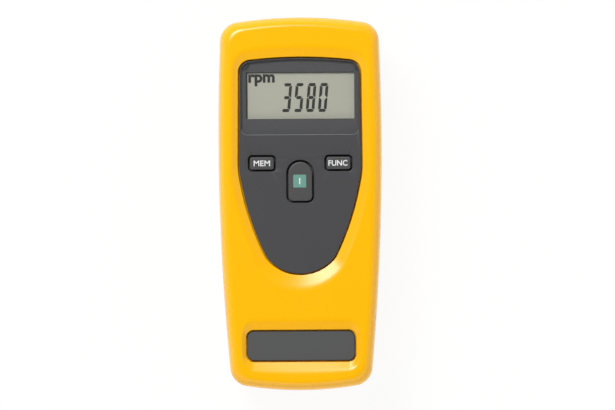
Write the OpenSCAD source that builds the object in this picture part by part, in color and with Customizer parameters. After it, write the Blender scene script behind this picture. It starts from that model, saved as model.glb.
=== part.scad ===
// Hand-held laser tachometer, lying on its back.
// X runs across the instrument, Y towards the sensor end and Z out of the display face.

/* [Body] */
// Width of the case at its widest point
body_w = 61.4; // [59:0.2:66]
// Length of the case from tail to sensor end
body_l = 140; // [138:1:156]
// Depth of the case from the flat back to the display face
body_d = 40; // [39.5:0.5:46]
// Width between the side lines where they cross the sensor end
head_w = 59.4; // [57:0.2:61]
// Width between the side lines where they cross the tail
tail_w = 52.6; // [51.6:0.2:57]
// How far the side lines cross outside the widest point
side_bow = 1.75; // [1.2:0.05:2.4]
// Crown radius of the sensor end
head_crown_r = 160; // [120:5:300]
// Crown radius of the tail
tail_crown_r = 130; // [110:5:300]
// Corner radius of the case seen from the front
corner_r = 7.2; // [6:0.2:9]
// Wall thickness of the case
wall = 2.4; // [2.2:0.1:2.8]
// Height of the joint between the two case halves
split_z = 18.5; // [18:0.5:19]
// Width of the rounded front edge
front_edge_w = 3.8; // [3.4:0.1:5.4]
// Height of the rounded front edge
front_edge_h = 6.5; // [5:0.5:9]
// Width of the rounded back edge
back_edge_w = 6; // [4:0.5:6.5]
// Height of the rounded back edge
back_edge_h = 8; // [6:0.5:9]
// How far the rear half narrows towards the back
back_draft = 1; // [0.5:0.1:1.2]

/* [Front panel] */
// Width of the dark panel
panel_w = 45.6; // [44.3:0.1:46.8]
// Length of the dark panel from its top edge to its tip
panel_l = 80.4; // [79:0.2:85]
// Distance from the sensor end to the panel's top edge
panel_margin = 15.6; // [13.6:0.2:16.6]
// Thickness of the dark panel
panel_t = 2.2; // [2:0.1:3]
// Shadow gap between the panel and the wall of its recess
panel_gap = 0.6; // [0.2:0.1:0.8]
// Depth of the panel below the display face
dish_depth = 1.5; // [1.2:0.1:2.2]
// Width of the dish slope above the panel
dish_top_w = 4.8; // [2:0.2:5.2]
// Width of the dish slope beside the panel
dish_side_w = 2.7; // [1:0.1:2.8]
// Width of the dish slope below the panel
dish_tip_w = 6.4; // [2:0.2:7]

/* [Name plate] */
// Width of the name plate
plate_w = 40.7; // [34:0.1:42.4]
// Height of the name plate
plate_h = 11.5; // [9:0.1:12.4]
// Corner radius of the name plate
plate_r = 2.7; // [1.7:0.1:3.7]
// Distance from the tail to the middle of the name plate
plate_margin = 17; // [16:0.2:19]
// Shadow gap between the name plate and the wall of its recess
plate_gap = 0.3; // [0.1:0.1:0.6]
// Width of the slope above the name plate
plate_top_w = 4.5; // [2:0.1:5]
// Width of the slope beside the name plate
plate_side_w = 1.8; // [1:0.1:2.4]
// Width of the slope below the name plate
plate_low_w = 4.2; // [1:0.2:4.4]

/* [Display] */
// Width of the display window
window_w = 40.1; // [32:0.5:40.5]
// Height of the display window
window_h = 17.3; // [13:0.5:18]
// Distance of the window from the middle line
window_shift = 0.3; // [0:0.1:0.5]
// Distance from the panel's top edge to the window
window_drop = 5.3; // [4.9:0.1:6.4]
// Length of the clear lens from the panel's top edge
lens_l = 28.7; // [26.5:0.2:30.5]
// Thickness of the clear lens
lens_t = 1.2; // [0.8:0.1:1.4]
// Thickness of the display glass
lcd_t = 2.8; // [2:0.1:3]

/* [Keys] */
// Width of the memory and function keys
key_w = 9; // [7:0.1:10]
// Height of the memory and function keys
key_h = 4.7; // [4:0.1:5.6]
// Distance of those keys from the middle line
key_spread = 14.3; // [13.2:0.1:14.8]
// Distance from the panel's top edge to the middle of those keys
key_drop = 39.2; // [39:0.2:41.4]
// Width of the measure key
measure_w = 8.9; // [8:0.1:10]
// Height of the measure key
measure_h = 14.6; // [12:0.2:16]
// Distance from the panel's top edge to the middle of the measure key
measure_drop = 46; // [45.4:0.2:47.4]
// Gap round each key
key_gap = 0.7; // [0.3:0.05:0.75]
// How far the keys stand above the panel
key_proud = 0.9; // [0.4:0.1:1.2]
// Travel of the keys
key_travel = 0.6; // [0.3:0.05:0.8]

/* [Battery bay] */
// Diameter of a cell
cell_d = 14.5; // [13.5:0.1:14.8]
// Length of a cell with its button
cell_l = 50.5; // [48:0.5:52]
// Length of a battery spring as fitted
spring_l = 5; // [4:0.2:6]
// Distance from the tail to the tail contact
tail_room = 7.6; // [7.4:0.1:8.4]
// Thickness of the battery door
door_t = 2.2; // [1.9:0.1:2.2]
// Height of the battery door at the tail
door_end_h = 10; // [8:0.5:12]

/* [Optics] */
// Diameter of the receiver lens
receiver_d = 13; // [10:0.5:13.5]
// Distance of the receiver axis from the middle line
receiver_x = 6.5; // [5.5:0.1:7]
// Diameter of the laser barrel
laser_d = 6.4; // [5:0.2:7]
// Distance of the laser axis from the middle line
laser_x = 10; // [9.4:0.1:10.4]
// Width of the sensor bezel
bezel_w = 34; // [33:0.5:36]
// Height of the sensor bezel
bezel_h = 14; // [13.6:0.2:15]

/* [Fixings] */
// Tapping diameter of the tripod thread
tripod_d = 5.1; // [4:0.1:5.5]
// Length of the tripod bush
tripod_l = 9; // [7:0.5:10]
// Distance of the tripod bush from the middle of the case
tripod_y = 24; // [16:0.5:30]
// Shank diameter of the case screws
case_screw_d = 2.8; // [2.2:0.1:3]
// Shank length of the case screws
case_screw_l = 16; // [14:0.5:18]
// Shank diameter of the board and optics screws
board_screw_d = 2; // [1.6:0.1:2.2]

/* [Hidden] */
$fn = 48;
half_w = body_w / 2;
half_l = body_l / 2;

// Running clearance between neighbouring mouldings
fit_gap = 0.1;
// Clearance round the sliding door
slide_gap = 0.2;
// Overlap that lets one solid run into another
bite = 0.5;
// How far cutters run on past the case
over = 1;
// Largest turn between two points of an outline
facet_turn = 10;
// Width of the shadow groove along the case joint
seam_w = 0.4;
// Inward lean of the front half's sides
front_draft = 0.3;
// Rings on each rounded edge
edge_steps = 6;

// Colours
case_colour = [0.98, 0.75, 0.02];
panel_colour = [0.32, 0.32, 0.33];
key_colour = [0.26, 0.26, 0.27];
black_colour = [0.1, 0.1, 0.11];
board_colour = [0.05, 0.32, 0.16];
metal_colour = [0.75, 0.76, 0.78];
brass_colour = [0.83, 0.66, 0.3];
glass_colour = [0.85, 0.9, 0.92];

// Unit vector from a to b
function heading(a, b) = (b - a) / norm(b - a);

// Outward normal of an edge that runs along t, the inside lying on its left
function outward(t) = [t.y, -t.x];

// First two numbers of a list
function plan(v) = [v.x, v.y];

// Turn of the outline at b
function turn_at(a, b, c) = acos(heading(a, b) * heading(b, c));

// Points of the arc of radius r that rounds corner b, each with its outward normal
function rounded_corner(a, b, c, r) =
    let (
        n1 = outward(heading(a, b)),
        n2 = outward(heading(b, c)),
        turn = turn_at(a, b, c),
        centre = b - (n1 + n2) / norm(n1 + n2) * r / cos(turn / 2),
        start = atan2(n1.y, n1.x),
        steps = max(6, ceil(turn / facet_turn))
    )
    [
        for (i = [0:steps])
            let (q = start + turn * i / steps)
                [centre.x + r * cos(q), centre.y + r * sin(q), cos(q), sin(q)]
    ];

// Corners [x, y, radius] of a right half, bottom to top, followed by those of the left half
function both_sides(half) =
    concat(half, [for (i = [len(half) - 1:-1:0]) if (half[i].x > 0) [-half[i].x, half[i].y, half[i].z]]);

// Closed outline with rounded corners
function outline(half) =
    let (v = both_sides(half), n = len(v))
    [
        for (i = [0:n - 1])
            each rounded_corner(plan(v[(i + n - 1) % n]), plan(v[i]), plan(v[(i + 1) % n]), v[i].z)
    ];

// Outline moved outward by g
function grown(points, g) = [for (p = points) [p.x + p[2] * g, p.y + p[3] * g]];

// Flat list of points at height z
function at_height(points, z) = [for (p = points) [p.x, p.y, z]];

// Corners of a rounded rectangle of size w by h about [0, y]
function rectangle_half(w, h, r, y) = [[w / 2, y - h / 2, r], [w / 2, y + h / 2, r]];

// Slope of the two tangents of a crown of radius r, over half its run
function crown_slope(r, run) = asin(run / r);

// Height of the crossing of those tangents above the crown
function crown_rise(r, run) = r * (1 / cos(crown_slope(r, run)) - 1);

// Case outline
head_run = head_w / 2 - corner_r;
head_apex = half_l + crown_rise(head_crown_r, head_run);
head_corner = [head_w / 2, head_apex - head_w / 2 * tan(crown_slope(head_crown_r, head_run))];
tail_run = tail_w / 2 - corner_r;
tail_apex = -half_l - crown_rise(tail_crown_r, tail_run);
tail_corner = [tail_w / 2, tail_apex + tail_w / 2 * tan(crown_slope(tail_crown_r, tail_run))];
waist = [half_w + side_bow, 0];
side_turn = turn_at(tail_corner, waist, head_corner);
side_run = min(norm(head_corner - waist), norm(tail_corner - waist)) - corner_r;
side_r = side_run / tan(side_turn / 2);
raw_outline = outline([
    [0, tail_apex, tail_crown_r],
    [tail_corner.x, tail_corner.y, corner_r],
    [waist.x, waist.y, side_r],
    [head_corner.x, head_corner.y, corner_r],
    [0, head_apex, head_crown_r]
]);
width_fit = half_w / max([for (p = raw_outline) p.x]);

// Case outline drawn in by d on every side, at height z
function case_ring(d, z) =
    [for (p = raw_outline) [p.x * width_fit * (1 - d / half_w), p.y * (1 - d / half_l), z]];

// The same, flat
function case_plan(d) = [for (p = case_ring(d, 0)) plan(p)];

// Front half from the joint up: skin moved in by t, starting at height z
front_edge_z = body_d - front_edge_h;
function front_rings(t) =
    [
        for (i = [0:edge_steps])
            let (a = 90 * i / edge_steps)
                case_ring(
                    front_draft + t + (front_edge_w - t) * (1 - cos(a)),
                    front_edge_z + (front_edge_h - t) * sin(a)
                )
    ];

// Rear half from the back up: skin moved in by t
function rear_rings(t) =
    [
        for (i = [edge_steps:-1:0])
            let (a = 90 * i / edge_steps)
                case_ring(
                    back_draft + t + (back_edge_w - t) * (1 - cos(a)),
                    back_edge_h - (back_edge_h - t) * sin(a)
                )
    ];

// Panel outline: tip, chin, flank, shoulder, top corner and crown
panel_top = half_l - panel_margin;
panel_tip = panel_top - panel_l;
panel_corner_r = 4.2;
panel_crown_r = 164.4;
panel_shoulder_r = 35.4;
panel_shoulder_drop = 42.3;
panel_flank_r = 104.4;
panel_flank_in = 3.65;
panel_flank_drop = 18.4;
panel_chin_r = 9.4;
panel_chin_in = 10.15;
panel_chin_rise = 5.95;
panel_lean = 0.4;
panel_top_hw = panel_w / 2 - panel_lean;
panel_run = panel_top_hw - panel_corner_r;
panel_apex = panel_top + crown_rise(panel_crown_r, panel_run);
panel_corner_y = panel_apex - panel_top_hw * tan(crown_slope(panel_crown_r, panel_run));
chin = [panel_w / 2 - panel_chin_in, panel_tip + panel_chin_rise];
tip_apex = chin.y - chin.x;
tip_r = (panel_tip - tip_apex) / (1 / cos(45) - 1);
shoulder_y = panel_top - panel_shoulder_drop;
flank = [panel_w / 2 - panel_flank_in, shoulder_y - panel_flank_drop];
// Straight left beside the round tip, which limits the chin's rounding
tip_straight = chin.x / cos(45) - tip_r;
chin_r = min(panel_chin_r, tip_straight / tan(turn_at([0, tip_apex], chin, flank) / 2));
panel_outline = outline([
    [0, tip_apex, tip_r],
    [chin.x, chin.y, chin_r],
    [flank.x, flank.y, panel_flank_r],
    [panel_w / 2, shoulder_y, panel_shoulder_r],
    [panel_top_hw, panel_corner_y, panel_corner_r],
    [0, panel_apex, panel_crown_r]
]);

// Name plate outline
plate_y = plate_margin - half_l;
plate_outline = outline(rectangle_half(plate_w, plate_h, plate_r, plate_y));

// Slope widths above, beside and below an outline, then how late its upper and lower corners widen
dish_slope = [dish_top_w, dish_side_w, dish_tip_w, 2, 1];
plate_slope = [plate_top_w, plate_side_w, plate_low_w, 3, 3];

// Width of a slope in the direction of normal n
function slope_w(n, slope) =
    let (end = n > 0 ? 0 : 2, late = n > 0 ? 3 : 4)
    slope[1] + (slope[end] - slope[1]) * pow(abs(n), slope[late]);

// Rise of a slope at share k of its width: straight, then rounded into the display face
function slope_rise(k) =
    let (u = max(0, k - 1 + rim_round))
    (k - u * u / (2 * rim_round)) / (1 - rim_round / 2);

// Outline moved outward past its gap by a share k of its slope width, at height z
function slope_ring(points, gap, k, z, slope) =
    [
        for (p = points)
            let (g = gap + slope_land + k * slope_w(p[3], slope))
                [p.x + p[2] * g, p.y + p[3] * g, z]
    ];

// Flat land between a gap and the slope round it
slope_land = 0.1;
// Share of a slope's width that is rounded, and the rings on that part
rim_round = 0.4;
rim_steps = 3;
// How far the slope cutters run on above the display face
slope_over = 0.01;

// Heights under the display face
panel_z = body_d - dish_depth;
panel_low = panel_z - panel_t;
ledge_w = 0.6;
ledge_t = 1.6;
ledge_z = panel_low - ledge_t;
collar_w = 1.8;
plate_t = 1;
plate_z = body_d - dish_depth + fit_gap;
plate_low = plate_z - plate_t;
plate_pad_t = 1.6;

// Display stack
window_y = panel_top - window_drop - window_h / 2;
window_corner_r = 0.4;
window_outline = outline(rectangle_half(window_w, window_h, window_corner_r, window_y));
lens_inset = 0.5;
lens_corner_r = 2;
lens_hw = panel_top_hw - lens_inset;
lens_top_r = panel_corner_r - lens_inset;
lens_run = lens_hw - lens_top_r;
lens_apex = panel_top - lens_inset + crown_rise(panel_crown_r, lens_run);
lens_outline = outline([
    [lens_hw, panel_top - lens_l, lens_corner_r],
    [lens_hw, lens_apex - lens_hw * tan(crown_slope(panel_crown_r, lens_run)), lens_top_r],
    [0, lens_apex, panel_crown_r]
]);
lcd_edge_w = 1.45;
lcd_edge_h = 1.85;
lcd_w = window_w + 2 * lcd_edge_w;
lcd_h = window_h + 2 * lcd_edge_h;
lcd_z = panel_low - fit_gap - lcd_t;
lcd_wall = 0.85;
lcd_frame_z = ledge_z - fit_gap;
lcd_floor_t = 1;
strip_w = 2;
strip_inset = 0.9;
strip_y = lcd_h / 2 - strip_inset - strip_w / 2;

// Keys, switches and main board
key_y = panel_top - key_drop;
key_r = 0.9;
measure_y = panel_top - measure_drop;
measure_r = 1.8;
key_z = panel_z + key_proud;
key_round = 0.4;
key_flange_w = 0.9;
key_flange_t = 1;
key_stem_r = 2.2;
switch_w = 6;
switch_h = 3.5;
switch_floor_t = 0.4;
plunger_r = 1.7;
// Plunger left above the switch when the key is pressed home
press_room = 0.3;
plunger_rise = key_travel + press_room;
board_t = 1.6;
key_stem_l = 1.9;
plunger_z = panel_low - key_flange_t - key_stem_l;
board_z = plunger_z - plunger_rise - switch_h;
board_low = board_z - board_t;
// How far the board reaches past the display holder, beside and above it
board_side = 0.2;
board_head = 0.6;
// Distance from the panel's tip to the board's lower edge
board_tip = 1.8;
board_hw = lcd_w / 2 + lcd_wall + board_side;
board_top = window_y + lcd_h / 2 + lcd_wall + board_head;
board_bottom = panel_tip + board_tip;
board_corner_r = 2;
board_boss_r = 2;
board_screw_l = 6;
// Board screws: inset of the upper pair, its height above the keys, then the lower pair's places
board_spot_in = 3.2;
board_spot_rise = 8;
board_spot_x = 9;
board_spot_tip = 11.4;
board_spots = [
    [board_hw - board_spot_in, key_y + board_spot_rise],
    [board_spot_in - board_hw, key_y + board_spot_rise],
    [board_spot_x, panel_tip + board_spot_tip],
    [-board_spot_x, panel_tip + board_spot_tip]
];
// Straight left between the two arcs of the measure key's top
measure_flat = 0.1;
measure_outline = outline([
    [measure_w / 2, measure_y - measure_h / 2, measure_r],
    [measure_w / 2, measure_y + measure_h / 2, (measure_w - measure_flat) / 2]
]);
key_outline = outline(rectangle_half(key_w, key_h, key_r, key_y));

// Battery bay
contact_t = 0.4;
bay_wall = 2;
bay_cap = 1.6;
cell_apart = 0.6;
cell_side = 0.6;
bay_hw = cell_d + cell_apart / 2 + cell_side;
bay_low = tail_room - half_l;
bay_high = bay_low + cell_l + spring_l + 2 * contact_t;
cell_x = (cell_d + cell_apart) / 2;
cell_float = 0.5;
cell_z = wall + cell_float + cell_d / 2;
bay_top = cell_z + cell_d / 2 + cell_float;
// Room above the door's plate
door_room = 0.8;
bay_foot = wall + door_room;
tongue_w = 1.3;
tongue_low = 1.2;
tongue_t = 0.9;
tongue_high = tongue_low + tongue_t;
// Gap between the bay's tail wall and the door's end
door_end_gap = 0.6;
contact_h = 11;
leg_w = 3;
door_hw = bay_hw - slide_gap;

// Optics
// Room between the receiver tube and the main board
optics_room = 1.4;
tube_wall = 1;
receiver_r = receiver_d / 2;
optics_z = board_low - optics_room - tube_wall - receiver_r;
// Depth of the bezel's face and of its back behind the sensor end
bezel_sink = 1.3;
bezel_depth = 6;
bezel_face = half_l - bezel_sink;
bezel_flange_t = 2;
bezel_flange_w = 1.2;
bezel_back = half_l - bezel_depth;
bezel_r = 4;
block_l = 18;
block_back = bezel_back - block_l;
lens_edge_t = 1.4;
lens_sag = 1.7;
lens_room = 0.3;
lens_seat = bezel_back - lens_edge_t - lens_sag - lens_room;
laser_wall = 1.6;
laser_tube_r = laser_d / 2 + laser_wall;
diode_r = 2.4;
diode_l = 3.5;
diode_cap_t = 1;
diode_step = 0.4;
base_rise = 1.5;
base_z = optics_z - receiver_r - tube_wall - base_rise;
base_t = 2;
ear_out = 0.2;
ear_x = bezel_w / 2 + ear_out;
ear_r = 2.8;
ear_in = 5;
ear_y = block_back + ear_in;
optics_screw_l = 5;
sensor_board_t = 1.6;
sensor_board_hw = 15;

// Case screws: the head sits on its seat inside a deep hole
screw_seat = 8;
screw_head_r = 2.7;
screw_head_h = 2;
screw_hole_r = 3;
post_r = 4.2;
boss_r = 3.7;
screw_tip_room = 2;
screw_end = screw_seat + case_screw_l;
// Insets of the screws from the side lines and from the ends
head_screw_in = 6.8;
head_screw_end = 10;
tail_screw_in = 4.8;
tail_screw_end = 16;
screw_spots = [
    [head_w / 2 - head_screw_in, half_l - head_screw_end],
    [head_screw_in - head_w / 2, half_l - head_screw_end],
    [tail_w / 2 - tail_screw_in, tail_screw_end - half_l],
    [tail_screw_in - tail_w / 2, tail_screw_end - half_l]
];

// Tripod bush
bush_r = 4.8;
bush_sink = 0.3;
bush_post_r = 7.2;

// Names of the pieces

// Solid through a stack of rings that all run the same way round
module loft(rings) {
    n = len(rings[0]);
    m = len(rings);
    sides = [
        for (k = [0:m - 2], i = [0:n - 1])
            let (j = (i + 1) % n, a = k * n, b = a + n)
                each [[a + i, b + i, b + j], [a + i, b + j, a + j]]
    ];
    low_cap = [for (i = [0:n - 1]) i];
    high_cap = [for (i = [n - 1:-1:0]) (m - 1) * n + i];
    polyhedron([for (r = rings) each r], concat([low_cap, high_cap], sides));
}

// Upright prism over a flat outline, from z0 to z1
module prism(points, z0, z1) {
    translate([0, 0, z0]) linear_extrude(z1 - z0) polygon(points);
}

// Upright ring between two flat outlines
module ring(outer, inner, z0, z1) {
    translate([0, 0, z0]) linear_extrude(z1 - z0) difference() {
        polygon(outer);
        polygon(inner);
    }
}

// Box that is centred on x and y and stands on z0
module block(x, y, w, h, z0, z1) {
    translate([x - w / 2, y - h / 2, z0]) cube([w, h, z1 - z0]);
}

// Upright post
module post(x, y, r, z0, z1) {
    translate([x, y, z0]) cylinder(h = z1 - z0, r = r);
}

// Rounded plate in the XZ plane, from y0 to y1, about the optical axis
module end_plate(w, h, r, y0, y1) {
    translate([0, y1, optics_z]) rotate([90, 0, 0]) linear_extrude(y1 - y0) union() {
        square([w - 2 * r, h], center = true);
        square([w, h - 2 * r], center = true);
        for (sx = [-1, 1], sy = [-1, 1]) translate([sx * (w / 2 - r), sy * (h / 2 - r)]) circle(r);
    }
}

// Round bar along Y from y0 to y1, with radius r0 at y0 and r1 at y1
module bar(x, z, y0, y1, r0, r1) {
    translate([x, y0, z]) rotate([-90, 0, 0]) cylinder(h = y1 - y0, r1 = r0, r2 = r1);
}

// Round bar of one radius along Y
module rod(x, z, y0, y1, r) {
    bar(x, z, y0, y1, r, r);
}

// Sloped cutter from an outline at height z up through the display face
module slope_cut(points, gap, z, slope) {
    shares = concat([0], [for (i = [0:rim_steps]) 1 - rim_round * (1 - i / rim_steps)]);
    rise = body_d + slope_over - z;
    loft([for (k = shares) slope_ring(points, gap, k, z + rise * slope_rise(k), slope)]);
}

// Outer form of the front half
module front_skin() {
    loft(concat([case_ring(seam_w, split_z), case_ring(0, split_z + seam_w)], front_rings(0)));
}

// Space inside the front half
module front_hollow() {
    loft(concat([case_ring(wall, split_z - bite)], front_rings(wall)));
}

// Outer form of the rear half
module rear_skin() {
    loft(concat(rear_rings(0), [case_ring(0, split_z - seam_w), case_ring(seam_w, split_z)]));
}

// Space inside the rear half
module rear_hollow() {
    loft(concat(rear_rings(wall), [case_ring(wall, split_z + bite)]));
}

// Lip that keys the two halves together
lip_h = 1.6;
lip_side = 0.2;
lip_in = wall / 2 - lip_side;

// Openings for the bezel through both halves
module bezel_opening() {
    end_plate(bezel_w + 2 * fit_gap, bezel_h + 2 * fit_gap, bezel_r + fit_gap, bezel_back, half_l + bite);
}

module front_case() {
    color(case_colour) difference() {
        front_skin();
        difference() {
            front_hollow();
            prism(grown(panel_outline, panel_gap + collar_w), ledge_z, body_d);
            prism(grown(plate_outline, plate_gap + collar_w), plate_low - plate_pad_t, body_d);
            for (p = screw_spots) post(p.x, p.y, boss_r, split_z, body_d);
        }
        ring(case_plan(lip_in), case_plan(wall + bite), split_z - bite, split_z + lip_h + fit_gap);
        slope_cut(panel_outline, panel_gap, panel_z, dish_slope);
        prism(grown(panel_outline, panel_gap), panel_low, panel_z + bite);
        prism(grown(panel_outline, -ledge_w), ledge_z - bite, panel_z);
        slope_cut(plate_outline, plate_gap, plate_z, plate_slope);
        prism(grown(plate_outline, plate_gap), plate_low, plate_z + bite);
        bezel_opening();
        for (p = screw_spots)
            post(p.x, p.y, (case_screw_d + fit_gap) / 2, split_z - bite, screw_end + screw_tip_room);
    }
}

// Box about the middle line that runs from past the tail to y
module run_block(hw, y, z0, z1) {
    block(0, (y - half_l - over) / 2, 2 * hw, y + half_l + over, z0, z1);
}

// Cut for the door: its plate, its tongues and its tail end
module door_cut() {
    tail_y = bay_low - bay_cap - door_end_gap + slide_gap;
    run_block(bay_hw, bay_high, -over, bay_foot);
    run_block(bay_hw, tail_y, -over, door_end_h + slide_gap);
    run_block(bay_hw + tongue_w, bay_high + tongue_w, tongue_low - slide_gap, tongue_high + slide_gap);
}

module rear_case() {
    bay_mid = (bay_low + bay_high) / 2;
    bay_len = bay_high - bay_low;
    color(case_colour) difference() {
        union() {
            difference() {
                rear_skin();
                difference() {
                    rear_hollow();
                    for (p = screw_spots) post(p.x, p.y, post_r, 0, split_z + wall);
                }
            }
            ring(case_plan(lip_in + fit_gap), case_plan(wall - lip_side), split_z - bite, split_z + lip_h);
            block(0, bay_mid, 2 * (bay_hw + bay_wall), bay_len + 2 * bay_cap, wall / 2, bay_top + bay_cap);
            for (s = [-1, 1]) post(s * ear_x, ear_y, ear_r, wall / 2, base_z);
            post(0, tripod_y, bush_post_r, wall / 2, tripod_l + bush_sink + wall);
        }
        door_cut();
        block(0, bay_mid, 2 * bay_hw, bay_len, -over, bay_top);
        for (s = [-1, 1])
            block(
                s * cell_x,
                bay_high - contact_t,
                leg_w + 2 * fit_gap,
                4 * contact_t,
                bay_top - bite,
                bay_top + bay_cap + bite
            );
        bezel_opening();
        for (p = screw_spots) {
            post(p.x, p.y, screw_hole_r, -over, screw_seat);
            post(p.x, p.y, case_screw_d / 2 + fit_gap, screw_seat - bite, split_z + bite);
        }
        for (s = [-1, 1])
            post(
                s * ear_x,
                ear_y,
                board_screw_d / 2 + fit_gap / 2,
                base_z + base_t - optics_screw_l - bite,
                base_z + bite
            );
        post(0, tripod_y, bush_r + fit_gap / 2, -over, tripod_l + bush_sink);
    }
}

module front_panel() {
    color(panel_colour) difference() {
        union() {
            prism(grown(panel_outline, 0), panel_low, panel_z);
            for (p = board_spots) post(p.x, p.y, board_boss_r, board_z, panel_low + bite);
        }
        prism(grown(lens_outline, fit_gap), panel_z - lens_t, panel_z + bite);
        translate([window_shift, 0, 0]) prism(grown(window_outline, 0), panel_low - bite, panel_z);
        prism(grown(measure_outline, key_gap), panel_low - bite, panel_z + bite);
        for (s = [-1, 1])
            translate([s * key_spread, 0, 0])
                prism(grown(key_outline, key_gap), panel_low - bite, panel_z + bite);
        for (p = board_spots)
            post(p.x, p.y, board_screw_d / 2 + fit_gap / 2, board_z - bite, panel_low + panel_t / 4);
    }
}

module display_lens() {
    color(glass_colour) prism(grown(lens_outline, 0), panel_z - lens_t, panel_z);
}

module lcd_glass() {
    color([0.66, 0.67, 0.61]) block(0, window_y, lcd_w, lcd_h, lcd_z, lcd_z + lcd_t);
}

module lcd_frame() {
    slot_w = lcd_w - 2 * strip_inset;
    color(black_colour) difference() {
        block(0, window_y, lcd_w + 2 * lcd_wall, lcd_h + 2 * lcd_wall, board_z, lcd_frame_z);
        block(0, window_y, lcd_w + 2 * fit_gap, lcd_h + 2 * fit_gap, lcd_z, lcd_frame_z + bite);
        for (s = [-1, 1])
            block(0, window_y + s * strip_y, slot_w, strip_w + 2 * fit_gap, board_z - bite, lcd_z + bite);
        block(0, window_y, slot_w, 2 * (strip_y - strip_w), board_z - bite, lcd_z - lcd_floor_t);
    }
}

module contact_strips() {
    color([0.85, 0.55, 0.6])
        for (s = [-1, 1])
            block(0, window_y + s * strip_y, lcd_w - 2 * strip_inset - 2 * fit_gap, strip_w, board_z, lcd_z);
}

module name_plate() {
    color(panel_colour) prism(grown(plate_outline, 0), plate_low, plate_z);
}

// Key cap with a rounded top edge, its retaining flange and the stem that meets the switch
module key(points, x, y) {
    color(key_colour) translate([x, 0, 0]) union() {
        loft([
            at_height(grown(points, 0), panel_low - bite),
            at_height(grown(points, 0), key_z - key_round),
            at_height(grown(points, -key_round * (1 - cos(45))), key_z - key_round * (1 - sin(45))),
            at_height(grown(points, -key_round), key_z)
        ]);
        prism(grown(points, key_gap + key_flange_w), panel_low - key_flange_t, panel_low);
        post(0, y, key_stem_r, plunger_z, panel_low - key_flange_t / 2);
    }
}

module memory_key() {
    key(key_outline, -key_spread, key_y);
}

module function_key() {
    key(key_outline, key_spread, key_y);
}

module measure_key() {
    key(measure_outline, 0, measure_y);
}

// Push-button plunger inside its switch
module plunger(x, y) {
    foot = board_z + switch_floor_t + key_travel + slide_gap;
    color([0.8, 0.78, 0.7]) post(x, y, plunger_r, foot, plunger_z);
}

module memory_plunger() {
    plunger(-key_spread, key_y);
}

module function_plunger() {
    plunger(key_spread, key_y);
}

module measure_plunger() {
    plunger(0, measure_y);
}

// Switch housing that stands on the board
module switch(x, y) {
    color(black_colour) difference() {
        block(x, y, switch_w, switch_w, board_z, board_z + switch_h);
        post(x, y, plunger_r + fit_gap, board_z + switch_floor_t, board_z + switch_h + bite);
    }
}

module memory_switch() {
    switch(-key_spread, key_y);
}

module function_switch() {
    switch(key_spread, key_y);
}

module measure_switch() {
    switch(0, measure_y);
}

module main_board() {
    r = board_corner_r;
    h = board_top - board_bottom;
    y = (board_top + board_bottom) / 2;
    color(board_colour) difference() {
        translate([0, y, board_low]) linear_extrude(board_t) union() {
            square([2 * board_hw - 2 * r, h], center = true);
            square([2 * board_hw, h - 2 * r], center = true);
            for (sx = [-1, 1], sy = [-1, 1]) translate([sx * (board_hw - r), sy * (h / 2 - r)]) circle(r);
        }
        for (p = board_spots) post(p.x, p.y, board_screw_d / 2 + fit_gap, board_low - bite, board_z + bite);
    }
}

// Components on the underside of the board
chip_w = 12;
chip_t = 1.5;
chip_drop = 6;
part_x = 12;
crystal_w = 4.5;
crystal_l = 10;
crystal_t = 3;
capacitor_r = 3;
capacitor_h = 5.5;

module processor_chip() {
    color(black_colour) block(0, window_y - chip_drop, chip_w, chip_w, board_low - chip_t, board_low);
}

module timing_crystal() {
    color(metal_colour) block(part_x, key_y, crystal_w, crystal_l, board_low - crystal_t, board_low);
}

module supply_capacitor() {
    color(black_colour) post(-part_x, key_y, capacitor_r, board_low - capacitor_h, board_low);
}

// Pan-head screw that stands on its tip: head at z0, shank upwards
module screw_up(x, y, z0, head_r, head_h, shank_r, shank_l) {
    translate([x, y, z0]) difference() {
        rotate_extrude() polygon([
            [0, 0],
            [head_r * 0.8, 0],
            [head_r, head_h / 3],
            [head_r, head_h],
            [shank_r, head_h],
            [shank_r, head_h + shank_l - shank_r],
            [0, head_h + shank_l]
        ]);
        for (q = [0, 90]) rotate([0, 0, q]) block(0, 0, head_r * 1.2, head_r * 0.26, -over, head_h * 0.6);
    }
}

board_head_h = 1.3;
board_head_r = 1.9;

// Board or optics screw
module small_screw(x, y, z0, shank_l) {
    screw_up(x, y, z0, board_head_r, board_head_h, board_screw_d / 2, shank_l);
}

module board_screws() {
    color(metal_colour)
        for (p = board_spots)
            small_screw(p.x, p.y, board_low - board_head_h, board_screw_l);
}

// Step by which the bezel's openings hold the lenses, and by which their mouths are narrower
stop_w = 0.8;
mouth_w = 0.2;

// Opening in the bezel for a lens of radius r
module bezel_mouth(x, r) {
    bar(x, optics_z, bezel_back - bite, bezel_face + bite, r - stop_w, r - mouth_w);
}

module sensor_bezel() {
    color(black_colour) difference() {
        union() {
            end_plate(bezel_w, bezel_h, bezel_r, bezel_back, bezel_face);
            end_plate(
                bezel_w + 2 * bezel_flange_w,
                bezel_h + 2 * bezel_flange_w,
                bezel_r + bezel_flange_w,
                bezel_back,
                bezel_back + bezel_flange_t
            );
        }
        bezel_mouth(receiver_x, receiver_r);
        bezel_mouth(-laser_x, laser_d / 2);
    }
}

module receiver_lens() {
    ball_r = (receiver_r * receiver_r + lens_sag * lens_sag) / (2 * lens_sag);
    color([0.75, 0.3, 0.28]) translate([receiver_x, lens_seat, optics_z]) rotate([-90, 0, 0]) intersection() {
        cylinder(h = lens_edge_t + lens_sag + over, r = receiver_r);
        translate([0, 0, lens_edge_t + lens_sag - ball_r]) sphere(ball_r);
    }
}

laser_sink = 1.6;
laser_nose = bezel_back - laser_sink;
laser_rim = 1.2;
laser_lens_r = laser_d / 2 - laser_rim;
laser_lens_t = 1.2;
laser_seat = laser_nose - laser_lens_t - 3 * fit_gap;
laser_bore_r = 1;
laser_diode_l = 4;

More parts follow.
